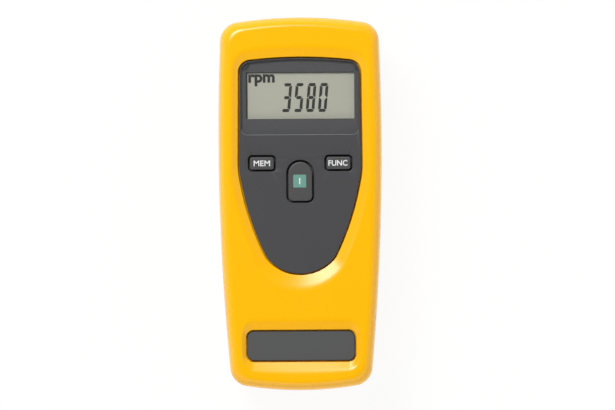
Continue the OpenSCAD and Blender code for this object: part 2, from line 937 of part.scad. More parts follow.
module laser_barrel() {
    color(brass_colour) difference() {
        rod(-laser_x, optics_z, block_back, laser_nose, laser_d / 2);
        rod(-laser_x, optics_z, laser_seat, laser_nose + bite, laser_lens_r + fit_gap / 2);
        rod(-laser_x, optics_z, block_back + laser_diode_l, laser_nose, laser_bore_r);
    }
}

module laser_lens() {
    color(glass_colour) rod(-laser_x, optics_z, laser_seat, laser_seat + laser_lens_t, laser_lens_r);
}

module optics_block() {
    tube_r = receiver_r + tube_wall;
    diode_end = block_back + diode_l;
    block_mid = (block_back + bezel_back) / 2;
    color(black_colour) difference() {
        union() {
            rod(receiver_x, optics_z, block_back, bezel_back, tube_r);
            rod(-laser_x, optics_z, block_back, bezel_back, laser_tube_r);
            block(0, block_mid, 2 * ear_x, block_l, base_z, base_z + base_t);
            block(-laser_x, block_mid, laser_d, block_l, base_z, optics_z);
            block(receiver_x, block_mid, receiver_d, block_l, base_z, optics_z);
            for (s = [-1, 1]) post(s * ear_x, ear_y, ear_r, base_z, base_z + base_t);
        }
        rod(receiver_x, optics_z, lens_seat, bezel_back + bite, receiver_r + fit_gap / 2);
        bar(receiver_x, optics_z, diode_end, lens_seat + fit_gap, diode_r + fit_gap, receiver_r - stop_w);
        rod(receiver_x, optics_z, block_back - bite, diode_end + fit_gap, diode_r + fit_gap);
        rod(-laser_x, optics_z, block_back - bite, bezel_back + bite, laser_d / 2 + fit_gap / 2);
        for (s = [-1, 1])
            post(s * ear_x, ear_y, board_screw_d / 2 + fit_gap, base_z - bite, base_z + base_t + bite);
    }
}

module optics_screws() {
    color(metal_colour)
        for (s = [-1, 1])
            translate([s * ear_x, ear_y, base_z + base_t + board_head_h])
                mirror([0, 0, 1]) small_screw(0, 0, 0, optics_screw_l);
}

module photodiode() {
    color([0.2, 0.1, 0.14])
        translate([receiver_x, block_back, optics_z]) rotate([-90, 0, 0]) rotate_extrude() difference() {
            union() {
                square([diode_r, diode_l - diode_cap_t]);
                square([diode_r - diode_step, diode_l]);
            }
            translate([-over, -over]) square([over, diode_l + 2 * over]);
        }
}

module sensor_board() {
    color(board_colour)
        block(
            0,
            block_back - sensor_board_t / 2,
            2 * sensor_board_hw,
            sensor_board_t,
            base_z,
            optics_z + receiver_r
        );
}

module board_link() {
    link_t = 2.5;
    link_w = 12;
    link_rise = 2;
    color(black_colour)
        block(0, block_back - sensor_board_t - link_t / 2, link_w, link_t, optics_z + link_rise, board_low);
}

// Dry cell with its button towards +Y when s is 1 and towards -Y when s is -1
module cell(s, y0) {
    button_h = 1.2;
    button_r = 2.75;
    rim = 0.6;
    translate([-s * cell_x, y0, cell_z]) rotate([-90 * s, 0, 0]) rotate_extrude() polygon([
        [0, 0],
        [cell_d / 2 - rim, 0],
        [cell_d / 2, rim],
        [cell_d / 2, cell_l - button_h - rim],
        [cell_d / 2 - rim, cell_l - button_h],
        [button_r, cell_l - button_h],
        [button_r, cell_l],
        [0, cell_l]
    ]);
}

module battery_left() {
    color([0.2, 0.2, 0.22]) cell(1, bay_low + contact_t + spring_l);
}

module battery_right() {
    color([0.2, 0.2, 0.22]) cell(-1, bay_high - contact_t - spring_l);
}

// Conical wire spring along +Y from y0, wide end first when s is 1
wire_r = 0.45;
spring_turns = 3.5;
spring_wide = 5.2;
spring_narrow = 3.2;
spring_sides = 6;
spring_steps = 49;

// Wire centre at share k of the spring
function spring_point(k) =
    let (r = spring_wide + (spring_narrow - spring_wide) * k, q = 360 * spring_turns * k)
    [r * cos(q), r * sin(q), wire_r + (spring_l - 2 * wire_r) * k];

// Ring of wire points about that centre
function spring_ring(k) =
    let (c = spring_point(k), q = 360 * spring_turns * k)
    [
        for (i = [0:spring_sides - 1])
            let (a = -360 * i / spring_sides)
                c + wire_r * [cos(a) * cos(q), cos(a) * sin(q), sin(a)]
    ];

module spring() {
    loft([for (i = [0:spring_steps]) spring_ring(i / spring_steps)]);
}

module battery_springs() {
    color(metal_colour) {
        translate([-cell_x, bay_low + contact_t, cell_z]) rotate([-90, 0, 0]) spring();
        translate([cell_x, bay_high - contact_t, cell_z]) rotate([90, 0, 0]) spring();
    }
}

module bridge_contact() {
    color(metal_colour)
        block(
            0,
            bay_low + contact_t / 2,
            2 * cell_x + contact_h,
            contact_t,
            cell_z - contact_h / 2,
            cell_z + contact_h / 2
        );
}

// Head-end contact with the leg that reaches the main board
module leg_contact(x) {
    y = bay_high - contact_t / 2;
    color(metal_colour) union() {
        block(x, y, contact_h, contact_t, cell_z - contact_h / 2, cell_z + contact_h / 2);
        block(x, y, leg_w, contact_t, cell_z, board_low);
    }
}

module positive_contact() {
    leg_contact(-cell_x);
}

module negative_contact() {
    leg_contact(cell_x);
}

module battery_door() {
    grip_in = 8;
    grip_count = 5;
    grip_w = 18;
    grip_t = 1.2;
    grip_step = 2.4;
    grip_depth = 0.7;
    grip_y = bay_high - grip_in;
    door_high = bay_high - slide_gap;
    tail_y = bay_low - bay_cap - door_end_gap;
    color(case_colour) difference() {
        intersection() {
            rear_skin();
            union() {
                run_block(door_hw, door_high, -over, door_t);
                run_block(door_hw, tail_y, -over, door_end_h);
                run_block(door_hw + tongue_w, door_high + tongue_w, tongue_low, tongue_high);
            }
        }
        difference() {
            rear_hollow();
            block(0, 0, body_w, body_l, -over, door_t);
        }
        for (i = [0:grip_count - 1])
            block(0, grip_y - i * grip_step, grip_w, grip_t, -over, grip_depth);
    }
}

module tripod_bush() {
    bore_r = tripod_d / 2;
    groove = 0.5;
    color(brass_colour) translate([0, tripod_y, bush_sink]) rotate_extrude() polygon([
        [bore_r, 0],
        [bush_r, 0],
        [bush_r, tripod_l * 0.4],
        [bush_r - groove, tripod_l * 0.4],
        [bush_r - groove, tripod_l * 0.6],
        [bush_r, tripod_l * 0.6],
        [bush_r, tripod_l],
        [bore_r, tripod_l]
    ]);
}

module case_screws() {
    color(metal_colour)
        for (p = screw_spots)
            translate([p.x, p.y, screw_seat - screw_head_h])
                screw_up(0, 0, 0, screw_head_r, screw_head_h, case_screw_d / 2, case_screw_l);
}

front_case();
rear_case();
front_panel();
display_lens();
lcd_glass();
lcd_frame();
contact_strips();
name_plate();
memory_key();
function_key();
measure_key();
memory_plunger();
function_plunger();
measure_plunger();
memory_switch();
function_switch();
measure_switch();
main_board();
processor_chip();
timing_crystal();
supply_capacitor();
board_screws();
sensor_bezel();
receiver_lens();
laser_barrel();
laser_lens();
optics_block();
optics_screws();
photodiode();
sensor_board();
board_link();
battery_left();
battery_right();
battery_springs();
bridge_contact();
positive_contact();
negative_contact();
battery_door();
tripod_bush();
case_screws();
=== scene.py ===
"""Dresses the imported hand-held laser tachometer: moulded case, front panel, display, keys and stage."""
import math

import bpy
from bpy.props import FloatProperty, FloatVectorProperty, PointerProperty, StringProperty
from bpy.types import Operator, Panel, PropertyGroup
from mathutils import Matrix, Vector
from mathutils.geometry import delaunay_2d_cdt


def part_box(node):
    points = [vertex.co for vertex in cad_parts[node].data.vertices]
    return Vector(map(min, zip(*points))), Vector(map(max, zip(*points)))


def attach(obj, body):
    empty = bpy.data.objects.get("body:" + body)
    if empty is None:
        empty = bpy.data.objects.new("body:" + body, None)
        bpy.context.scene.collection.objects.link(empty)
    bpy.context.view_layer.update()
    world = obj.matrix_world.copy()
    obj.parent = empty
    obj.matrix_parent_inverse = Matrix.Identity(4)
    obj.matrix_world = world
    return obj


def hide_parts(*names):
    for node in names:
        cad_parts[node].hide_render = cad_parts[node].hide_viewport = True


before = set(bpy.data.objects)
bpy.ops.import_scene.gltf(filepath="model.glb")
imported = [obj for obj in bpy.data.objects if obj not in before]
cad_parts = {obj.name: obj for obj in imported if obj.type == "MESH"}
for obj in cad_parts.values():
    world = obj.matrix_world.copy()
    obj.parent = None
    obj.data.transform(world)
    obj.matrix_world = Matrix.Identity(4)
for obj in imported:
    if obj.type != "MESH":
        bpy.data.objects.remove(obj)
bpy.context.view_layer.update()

bl_info = {
    "name": "Laser Tachometer",
    "version": (1, 0, 0),
    "blender": (4, 5, 0),
    "location": "View3D > Sidebar > Tachometer",
    "description": "Dresses the packed laser tachometer with moulded, printed, clear and metal finishes",
    "category": "Object",
}

LOW = {name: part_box(name)[0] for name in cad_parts}
HIGH = {name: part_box(name)[1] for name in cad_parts}

# Edges sharper than these stay crisp, on built pieces and on carried-over nodes
SHARP_ANGLE = math.radians(38)
SPLIT_ANGLE = math.radians(32)
# Thickness of printed marks and figures
PRINT = 0.00002
# Along half a cell: start of its band, shift of the wrap from the middle, end of the wrap
BAND_START = 0.42
WRAP_SHIFT = 0.02
WRAP_END = 0.945
# Width of the camera's sensor in millimetres
SENSOR = 36
# Share of its own white that the floor shows to the camera
FLOOR_GLOW = 0.93


# Settings

def length(description, default):
    """Property for a length in metres."""
    return FloatProperty(description=description, default=default, unit="LENGTH", precision=5)


def tint(description, red, green, blue):
    """Property for a colour, written in 0 to 255 as seen on a screen."""
    shade = [((c / 255 + 0.055) / 1.055) ** 2.4 if c > 10 else c / 255 / 12.92 for c in (red, green, blue)]
    return FloatVectorProperty(description=description, subtype="COLOR", size=3, min=0, max=1, default=shade)


class TachoCase(PropertyGroup):
    """Sizes of the moulded front half of the case."""
    half_width: length("Half of the case's greatest width", HIGH["front_case"].x)
    half_length: length("Half of the case's length", -LOW["front_case"].y)
    head_width: length("Width between the side lines at the sensor end", 0.0594)
    tail_width: length("Width between the side lines at the tail", 0.0526)
    side_bow: length("How far the side lines cross outside the widest point", 0.00175)
    head_crown: length("Crown radius of the sensor end", 0.16)
    tail_crown: length("Crown radius of the tail", 0.13)
    corner: length("Corner radius seen from the front", 0.0072)
    wall: length("Wall thickness of the case", 0.0024)
    edge_width: length("Width of the rounded front edge", 0.0038)
    edge_height: length("Height of the rounded front edge", 0.0065)
    draft: length("Inward lean of the sides", 0.0003)
    seam: length("Chamfer along the joint between the halves", 0.0004)


class TachoDish(PropertyGroup):
    """Sizes of the sloped recesses in the display face."""
    gap: length("Shadow gap round the panel", 0.0006)
    land: length("Rounded lip between a gap and its slope", 0.0001)
    top: length("Width of the slope above the panel", 0.0048)
    side: length("Width of the slope beside the panel", 0.0027)
    tip: length("Width of the slope below the panel", 0.0064)
    plate_gap: length("Shadow gap round the name plate", 0.0003)
    plate_top: length("Width of the slope above the name plate", 0.0045)
    plate_side: length("Width of the slope beside the name plate", 0.0018)
    plate_low: length("Width of the slope below the middle of the name plate", 0.0052)
    plate_bow: FloatProperty(default=0.32, min=0, max=0.6, subtype="FACTOR",
                             description="Share by which the slope below the name plate narrows to its ends")
    collar: length("Wall round a recess, behind the face", 0.0018)
    floor: length("Thickness of a ledge or pad behind a recess", 0.0016)
    rim: FloatProperty(description="Share of a slope that is rounded into the face", default=0.4,
                       min=0.1, max=0.9, subtype="FACTOR")


class TachoPanel(PropertyGroup):
    """Sizes of the dark panel, its lens and the name plate."""
    width: length("Width of the panel", 0.0456)
    thickness: length("Thickness of the panel", 0.0022)
    edge: length("Rounding of the panel's edges", 0.00012)
    crown: length("Crown radius of the panel's top edge", 0.1644)
    corner: length("Radius of the panel's top corners", 0.0042)
    lean: length("How far the sides lean in towards the top", 0.0004)
    shoulder_drop: length("Distance from the top to the widest point", 0.0423)
    shoulder_radius: length("Rounding at the widest point", 0.0354)
    flank_in: length("Inset of the lower flank", 0.00365)
    flank_drop: length("Distance from the widest point to the lower flank", 0.0184)
    flank_radius: length("Rounding of the lower flank", 0.1044)
    chin_in: length("Inset of the chin", 0.01015)
    chin_rise: length("Height of the chin above the tip", 0.00595)
    chin_radius: length("Rounding of the chin", 0.0094)
    ledge: length("Ledge of the case that the panel sits on", 0.0006)
    lens_inset: length("Rim of the panel round the clear lens", 0.0005)
    lens_corner: length("Radius of the lens's lower corners", 0.002)
    lens_gap: length("Gap round the lens", 0.0001)
    lens_lip: length("Rounding of the panel round the lens", 0.00008)
    lens_edge: length("Rounding of the lens's edges", 0.00018)
    plate_corner: length("Corner radius of the name plate", 0.0027)
    plate_inset: length("How far the name plate stands back from its pocket", 0.00015)
    plate_edge: length("Rounding of the name plate's edges", 0.0003)
    window_corner: length("Corner radius of the display window", 0.0004)
    window_lip: length("Rounding of the panel round the window", 0.00005)
    window_width: length("Width of the display window", 0.0405)
    window_shift: length("Distance of the window from the middle line", 0.0001)
    window_height: length("Height of the display window", 0.01745)
    window_drop: length("Distance from the panel's top to the window", 0.00515)
    post: length("Radius of the posts that hold the main board", 0.002)
    post_bore: length("Radius of the bores in the posts", 0.00105)
    screw_head: length("Radius of a board screw's head", 0.0019)
    post_rise: length("Height of the upper posts above the small keys", 0.008)
    low_post: length("Distance of the lower posts from the middle line", 0.009)
    low_post_rise: length("Height of the lower posts above the panel's tip", 0.012)


class TachoDisplay(PropertyGroup):
    """Figures on the display, and the painted shadow along its window."""
    reading: StringProperty(description="Figures on the display", default="3580")
    height: length("Height of a figure", 0.0108)
    width: length("Width of a figure", 0.0032)
    pitch: length("Distance from figure to figure", 0.00453)
    stroke: length("Width of a segment", 0.0012)
    left: length("Left end of the first figure", -0.0069)
    low: length("Foot of the figures", 0.0343)
    slant: FloatProperty(description="Lean of the figures", default=math.radians(5), subtype="ANGLE")
    unit_x: length("Middle of the unit, along X", -0.01425)
    unit_y: length("Middle of the unit, along Y", 0.04625)
    unit_width: length("Width of the unit", 0.0099)
    unit_height: length("Height of the unit", 0.0045)
    unit_weight: FloatProperty(description="Weight added to the unit", default=0.04)
    # Painted shadow: widths of the dark strips along the window's left and top that stand for the shade of the
    # window's wall on the display
    painted_shadow_side: length("Width of the painted shadow at the left", 0.00067)
    painted_shadow_head: length("Width of the painted shadow at the top", 0.0003)


class TachoKeys(PropertyGroup):
    """Sizes of the three keys."""
    width: length("Width of a small key", 0.009)
    height: length("Height of a small key", 0.0047)
    spread: length("Distance of the small keys from the middle line", 0.0143)
    drop: length("Distance from the panel's top to the small keys", 0.0392)
    measure_width: length("Width of the measure key", 0.0089)
    measure_height: length("Height of the measure key", 0.0146)
    measure_drop: length("Distance from the panel's top to the measure key", 0.046)
    gap: length("Gap round each key", 0.0007)
    edge: length("Rounding of the key tops", 0.0005)
    mark: length("Side of the green mark", 0.0048)
    mark_corner: length("Corner radius of the green mark", 0.0004)
    mark_shift: length("Distance of the green mark from the middle line", -0.0002)
    mark_rise: length("Distance of the green mark above the key's middle", 0.0001)
    bar_width: length("Width of the bar on the green mark", 0.00042)
    bar_height: length("Height of the bar on the green mark", 0.0024)
    bar_corner: length("Corner radius of the bar on the green mark", 0.0002)
    corner: length("Corner radius of a small key", 0.0009)
    measure_corner: length("Radius of the measure key's lower corners", 0.0018)
    arch_flat: length("Half of the flat at the top of the measure key's arch", 0.00005)
    lip: length("Rounding of the panel round the keys", 0.00015)
    flange: length("Width of the flange that keeps a key in", 0.0009)
    flange_height: length("Height of the flange", 0.001)
    flange_edge: length("Rounding of the flange", 0.0001)
    stem: length("Radius of a key's stem", 0.0022)
    legend: length("Height of the legends", 0.0021)
    memory_legend: length("Width of the memory key's legend", 0.0061)
    function_legend: length("Width of the function key's legend", 0.0071)
    legend_shift: length("Distance of the function key's legend from the key's middle", -0.0002)
    legend_weight: FloatProperty(description="Weight added to the legends", default=0.015)


class TachoColours(PropertyGroup):
    """Colours of the finishes."""
    case: tint("Moulded case", 252, 185, 1)
    panel: tint("Dark panel", 69, 69, 71)
    plate: tint("Name plate", 82, 83, 83)
    # Painted shadow: dark brown for the name plate's edge, standing for the shade in the gap round the plate
    rim: tint("Painted shadow on the name plate's edge", 50, 42, 26)
    key: tint("Keys", 73, 73, 74)
    display: tint("Display ground", 164, 165, 150)
    # The ink also colours the painted shadow along the display window's left and top
    ink: tint("Display figures", 22, 22, 14)
    legend: tint("Printed legends", 230, 231, 230)
    mark: tint("Mark on the measure key", 102, 151, 137)
    black: tint("Black mouldings", 34, 34, 36)
    board: tint("Circuit boards", 22, 86, 48)
    metal: tint("Plated steel", 196, 198, 202)
    brass: tint("Brass", 206, 168, 92)
    ivory: tint("Switch plungers", 214, 208, 190)
    strip: tint("Contact strips", 206, 142, 150)
    lens: tint("Receiver lens", 150, 34, 30)
    wrap: tint("Cell wrap", 52, 84, 120)
    band: tint("Cell wrap band", 205, 208, 210)
    floor: tint("Floor", 250, 250, 250)


class TachoStage(PropertyGroup):
    """Camera and light."""
    field: length("Width of the picture at the case joint", 0.23135)
    right: length("Middle of the picture, to the right of the case's middle", 0.00265)
    up: length("Middle of the picture, above the case's middle", -0.00045)
    height: length("Height of the camera", 2.6)
    roll: FloatProperty(description="Turn of the camera about its view", default=math.radians(-0.345),
                        subtype="ANGLE")
    key_power: FloatProperty(description="Power of the main softbox in watts", default=66.0)
    key_place: FloatVectorProperty(description="Place of the main softbox", size=3, unit="LENGTH",
                                   default=(-0.764, 1.407, 2.049))
    key_width: length("Width of the main softbox", 1.24)
    key_height: length("Height of the main softbox", 0.86)
    sky: FloatProperty(description="Strength of the surroundings", default=1.1)
    sky_lean: FloatVectorProperty(description="How the surroundings brighten along X, Y and Z",
                                  default=(0.24, -0.62, 0), size=3)
    sky_spread: FloatVectorProperty(size=3, default=(-0.46, 0, 0),
                                    description="How the surroundings brighten both ways along X, Y and Z")


class TachoSettings(PropertyGroup):
    """All settings of the tachometer."""
    case: PointerProperty(type=TachoCase)
    dish: PointerProperty(type=TachoDish)
    panel: PointerProperty(type=TachoPanel)
    display: PointerProperty(type=TachoDisplay)
    keys: PointerProperty(type=TachoKeys)
    colours: PointerProperty(type=TachoColours)
    stage: PointerProperty(type=TachoStage)


# Outlines: points [x, y, normal x, normal y] that run anticlockwise

def rounded_corner(a, b, c, radius):
    """Arc of that radius that rounds corner b between a and c."""
    t1 = (b - a).normalized()
    t2 = (c - b).normalized()
    n1 = Vector((t1.y, -t1.x))
    n2 = Vector((t2.y, -t2.x))
    turn = math.acos(max(-1, min(1, t1.dot(t2))))
    centre = b - (n1 + n2).normalized() * radius / math.cos(turn / 2)
    start = math.atan2(n1.y, n1.x)
    steps = max(10, math.ceil(math.degrees(turn) / 3))
    points = []
    for i in range(steps + 1):
        q = start + turn * i / steps
        points.append((centre.x + radius * math.cos(q), centre.y + radius * math.sin(q), math.cos(q), math.sin(q)))
    return points


def outline(half):
    """Closed outline from the corners (x, y, radius) of its right half, bottom to top."""
    corners = list(half) + [(-x, y, r) for x, y, r in reversed(half) if x > 0]
    flat = [Vector((x, y)) for x, y, _ in corners]
    count = len(flat)
    points = []
    for i in range(count):
        points += rounded_corner(flat[i - 1], flat[i], flat[(i + 1) % count], corners[i][2])
    return points


def shifted(points, x):
    """Outline moved along X."""
    return [(p[0] + x, p[1], p[2], p[3]) for p in points]


def subdivided(points, step):
    """Outline with points added along its straight runs."""
    added = []
    for a, b in zip(points, points[1:] + points[:1]):
        count = max(1, round(math.dist(a[:2], b[:2]) / step))
        added += [tuple(p + (q - p) * i / count for p, q in zip(a, b)) for i in range(count)]
    return added


def rectangle(width, height, radius, y):
    """Rounded rectangle about (0, y)."""
    return outline([(width / 2, y - height / 2, radius), (width / 2, y + height / 2, radius)])


def crown(radius, run):
    """Slope of a crown's end tangents and the rise of their crossing above it."""
    slope = math.asin(run / radius)
    return math.tan(slope), radius * (1 / math.cos(slope) - 1)


def case_outline(size):
    """Outline of the case at the joint between its halves."""
    head_tan, head_rise = crown(size.head_crown, size.head_width / 2 - size.corner)
    tail_tan, tail_rise = crown(size.tail_crown, size.tail_width / 2 - size.corner)
    head_apex = size.half_length + head_rise
    tail_apex = -size.half_length - tail_rise
    head = Vector((size.head_width / 2, head_apex - size.head_width / 2 * head_tan))
    tail = Vector((size.tail_width / 2, tail_apex + size.tail_width / 2 * tail_tan))
    waist = Vector((size.half_width + size.side_bow, 0))
    turn = math.acos((waist - tail).normalized().dot((head - waist).normalized()))
    run = min((head - waist).length, (tail - waist).length) - size.corner
    points = outline([(0, tail_apex, size.tail_crown), (tail.x, tail.y, size.corner),
                      (waist.x, waist.y, run / math.tan(turn / 2)), (head.x, head.y, size.corner),
                      (0, head_apex, size.head_crown)])
    fit = size.half_width / max(p[0] for p in points)
    return [(p[0] * fit, p[1], p[2], p[3]) for p in points]


def panel_outline(size):
    """Shield outline of the dark panel."""
    top = HIGH["front_panel"].y
    tip = LOW["front_panel"].y
    half = size.width / 2
    upper = half - size.lean
    slope, rise = crown(size.crown, upper - size.corner)
    apex = top + rise
    shoulder_y = top - size.shoulder_drop
    chin = (half - size.chin_in, tip + size.chin_rise)
    tip_apex = chin[1] - chin[0]
    return outline([(0, tip_apex, (tip - tip_apex) / (math.sqrt(2) - 1)), (chin[0], chin[1], size.chin_radius),
                    (half - size.flank_in, shoulder_y - size.flank_drop, size.flank_radius),
                    (half, shoulder_y, size.shoulder_radius), (upper, apex - upper * slope, size.corner),
                    (0, apex, size.crown)])


def lens_outline(size):
    """Outline of the clear lens, inside the top of the panel."""
    half = size.width / 2 - size.lean - size.lens_inset
    corner = size.corner - size.lens_inset
    slope, rise = crown(size.crown, half - corner)
    apex = HIGH["front_panel"].y - size.lens_inset + rise
    return outline([(half, LOW["display_lens"].y, size.lens_corner), (half, apex - half * slope, corner),
                    (0, apex, size.crown)])


def plate_outline(size):
    """Outline of the name plate."""
    low, high = LOW["name_plate"], HIGH["name_plate"]
    return rectangle(high.x * 2, high.y - low.y, size.plate_corner, (high.y + low.y) / 2)


def slope_rise(share, rim):
    """Rise of a slope: straight, then rounded into the face."""
    over = max(0, share - 1 + rim)
    return (share - over * over / (2 * rim)) / (1 - rim / 2)


# Meshes

class Skin:
    """Surface built ring by ring, each ring anticlockwise seen from above."""

    def __init__(self):
        self.points = []
        self.faces = []
        self.tints = []

    def ring(self, flat, z):
        """Adds a ring of points at height z."""
        start = len(self.points)
        self.points += [(p[0], p[1], z) for p in flat]
        return list(range(start, len(self.points)))

    def grown(self, points, out, z):
        """Adds an outline moved outward, at height z."""
        return self.ring([(p[0] + p[2] * out, p[1] + p[3] * out) for p in points], z)

    def add(self, corners):
        """Adds one face."""
        self.faces.append(tuple(corners))
        self.tints.append(0)

    def bridge(self, rings):
        """Joins rings in order."""
        for low, high in zip(rings, rings[1:]):
            for i in range(len(low)):
                j = (i + 1) % len(low)
                self.add((low[i], low[j], high[j], high[i]))

    def fill(self, rim, holes=(), up=True):
        """Fills a flat rim, leaving its holes open."""
        loops = [rim, *holes]
        index = [i for loop in loops for i in loop]
        flat = [Vector((self.points[i][0] * 1000, self.points[i][1] * 1000)) for i in index]
        sides = []
        start = 0
        for loop in loops:
            sides.append(list(range(start, start + len(loop))))
            start += len(loop)
        made, _, faces, origin, _, inside = delaunay_2d_cdt(flat, [], sides, 1, 1e-7)
        if len(made) != len(flat):
            raise RuntimeError("the edges of a flat face cross each other")
        for face, within in zip(faces, inside):
            if list(within) != [0]:
                continue
            a, b, c = [made[v] for v in face]
            turned = (b - a).cross(c - a) > 0
            corners = [index[origin[v][0]] for v in face]
            self.add(corners if turned == up else corners[::-1])

    def rounded_hole(self, points, out, top, low, edge):
        """Adds the wall of a hole with a rounded mouth and returns its upper and lower ring."""
        rings = []
        for i in range(4):
            a = math.pi / 2 * i / 3
            rings.append(self.grown(points, out + edge * (1 - math.sin(a)), top - edge * (1 - math.cos(a))))
        rings.append(self.grown(points, out, low))
        self.bridge(rings)
        return rings[0], rings[-1]

    def rounded_side(self, points, low, top, edge, out=0):
        """Adds the side of a slab with a rounded top edge and returns its lower and upper ring."""
        rings = [self.grown(points, out, low)]
        for i in range(6):
            a = math.pi / 2 * i / 5
            rings.append(self.grown(points, out - edge * (1 - math.cos(a)), top - edge * (1 - math.sin(a))))
        self.bridge(rings)
        return rings[0], rings[-1]

    def slab(self, points, low, top, edge, out=0):
        """Adds a closed slab with a rounded top edge."""
        foot, rim = self.rounded_side(points, low, top, edge, out)
        self.fill(rim, up=True)
        self.fill(foot, up=False)

    def tube(self, x, y, outer, inner, low, top):
        """Adds an upright tube, or a post where inner is nothing."""
        turns = [math.tau * i / 32 for i in range(32)]
        circle = [(x, y, math.cos(q), math.sin(q)) for q in turns]
        outside = [self.grown(circle, outer, low), self.grown(circle, outer, top)]
        self.bridge(outside)
        holes = [[], []]
        if inner:
            bore = [self.grown(circle, inner, top), self.grown(circle, inner, low)]
            self.bridge(bore)
            holes = [[bore[1]], [bore[0]]]
        self.fill(outside[0], holes[0], up=False)
        self.fill(outside[1], holes[1], up=True)

    def piece(self, name, materials, body, slot, nodes=()):
        """Makes the object, puts it on its body and lets it stand for CAD nodes."""
        mesh = bpy.data.meshes.new(name)
        mesh.from_pydata(self.points, [], self.faces)
        smooth_faces(mesh)
        for polygon, part in zip(mesh.polygons, self.tints):
            polygon.material_index = part
        mesh.set_sharp_from_angle(angle=SHARP_ANGLE)
        return place(name, mesh, materials, body, nodes)


def smooth_faces(mesh):
    """Shades a mesh smooth, without normals stored before."""
    stored = mesh.attributes.get("custom_normal")
    if stored:
        mesh.attributes.remove(stored)
    for polygon in mesh.polygons:
        polygon.use_smooth = True


def even_shading(piece):
    """Weights the normals by face area, up to the sharp edges."""
    piece.modifiers.new("Even shading", "WEIGHTED_NORMAL").keep_sharp = True


def place(name, mesh, materials, body, nodes=()):
    """Links a mesh as a piece that rides on a body."""
    piece = bpy.data.objects.new(name, mesh)
    bpy.context.scene.collection.objects.link(piece)
    for material in materials:
        mesh.materials.append(material)
    even_shading(piece)
    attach(piece, body)
    if nodes:
        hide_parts(*nodes)
    return piece


def finish_node(name, material):
    """Gives a carried-over node its finish and smooth shading."""
    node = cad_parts.get(name)
    if node is None:
        raise RuntimeError("no node named " + name)
    mesh = node.data
    smooth_faces(mesh)
    for polygon in mesh.polygons:
        polygon.material_index = 0
    mesh.materials.clear()
    mesh.materials.append(material)
    weld = node.modifiers.new("Weld", "WELD")
    weld.merge_threshold = 1e-6
    split = node.modifiers.new("Crisp edges", "EDGE_SPLIT")
    split.split_angle = SPLIT_ANGLE
    split.use_edge_sharp = False
    even_shading(node)


def flat_shape(name, loops, z, thickness, material, body, slot):
    """Thin printed shape: closed prisms over flat loops."""
    skin = Skin()
    for loop in loops:
        low = skin.ring(loop, z)
        top = skin.ring(loop, z + thickness)
        skin.bridge([low, top])
        skin.fill(top, up=True)
        skin.fill(low, up=False)
    return skin.piece(name, [material], body, slot)


def lettering(name, words, middle, size, z, weight, material, body):
    """Printed word of the given width and height about a middle point."""
    curve = bpy.data.curves.new(name, "FONT")
    curve.body = words
    curve.size = 1
    curve.offset = weight
    curve.resolution_u = 4
    curve.extrude = 0.02
    holder = bpy.data.objects.new(name + "_outline", curve)
    bpy.context.scene.collection.objects.link(holder)
    bpy.context.view_layer.update()
    mesh = bpy.data.meshes.new_from_object(holder.evaluated_get(bpy.context.evaluated_depsgraph_get()))
    bpy.data.objects.remove(holder)
    bpy.data.curves.remove(curve)
    xs = [v.co.x for v in mesh.vertices]
    ys = [v.co.y for v in mesh.vertices]
    if not xs:
        raise RuntimeError("no letters in " + words)
    wide = size[0] / (max(xs) - min(xs))
    tall = size[1] / (max(ys) - min(ys))
    for v in mesh.vertices:
        v.co = (middle[0] + (v.co.x - (max(xs) + min(xs)) / 2) * wide,
                middle[1] + (v.co.y - (max(ys) + min(ys)) / 2) * tall,
                z + (v.co.z + 0.02) * 0.0005)
    mesh.name = name
    return place(name, mesh, [material], body)


# Finishes

def add_node(tree, kind, inputs=None, **settings):
    """Adds a shader node with its settings, and fills its inputs with values or links."""
    node = tree.nodes.new("ShaderNode" + kind)
    for name, value in settings.items():
        setattr(node, name, value)
    for socket, value in (inputs or {}).items():
        if isinstance(value, bpy.types.NodeSocket):
            tree.links.new(value, node.inputs[socket])
        else:
            node.inputs[socket].default_value = value
    return node


def add_math(tree, operation, *values, **settings):
    """Adds a sum of values or links and returns its result."""
    return add_node(tree, "Math", dict(enumerate(values)), operation=operation, **settings).outputs[0]


def add_mix(tree, share, low, high):
    """Adds a mix of two colours and returns its result."""
    return add_node(tree, "Mix", {0: share, 6: low, 7: high}, data_type="RGBA").outputs[2]


def node_group(name, inputs, outputs):
    """Shader node group with named sockets, the values given to it and its end node."""
    group = bpy.data.node_groups.new(name, "ShaderNodeTree")
    for label, value in inputs.items():
        kind = "NodeSocketColor" if isinstance(value, tuple) else "NodeSocketFloat"
        group.interface.new_socket(label, in_out="INPUT", socket_type=kind).default_value = value
    for label in outputs:
        kind = "NodeSocketColor" if label == "Color" else "NodeSocketFloat"
        group.interface.new_socket(label, in_out="OUTPUT", socket_type=kind)
    return group, group.nodes.new("NodeGroupInput").outputs, group.nodes.new("NodeGroupOutput")


def grain_group():
    """Fine spark-eroded texture of a mould, as a height."""
    group = bpy.data.node_groups.get("Moulded Grain")
    if group:
        return group
    group, given, end = node_group("Moulded Grain", {"Scale": 2500.0}, ["Height"])
    where = {"Vector": add_node(group, "TexCoord").outputs["Object"], "Scale": given["Scale"]}
    fine = add_node(group, "TexNoise", {**where, "Detail": 3})
    cells = add_node(group, "TexVoronoi", where)
    height = add_math(group, "MULTIPLY", fine.outputs["Fac"], cells.outputs["Distance"])
    group.links.new(height, end.inputs["Height"])
    return group


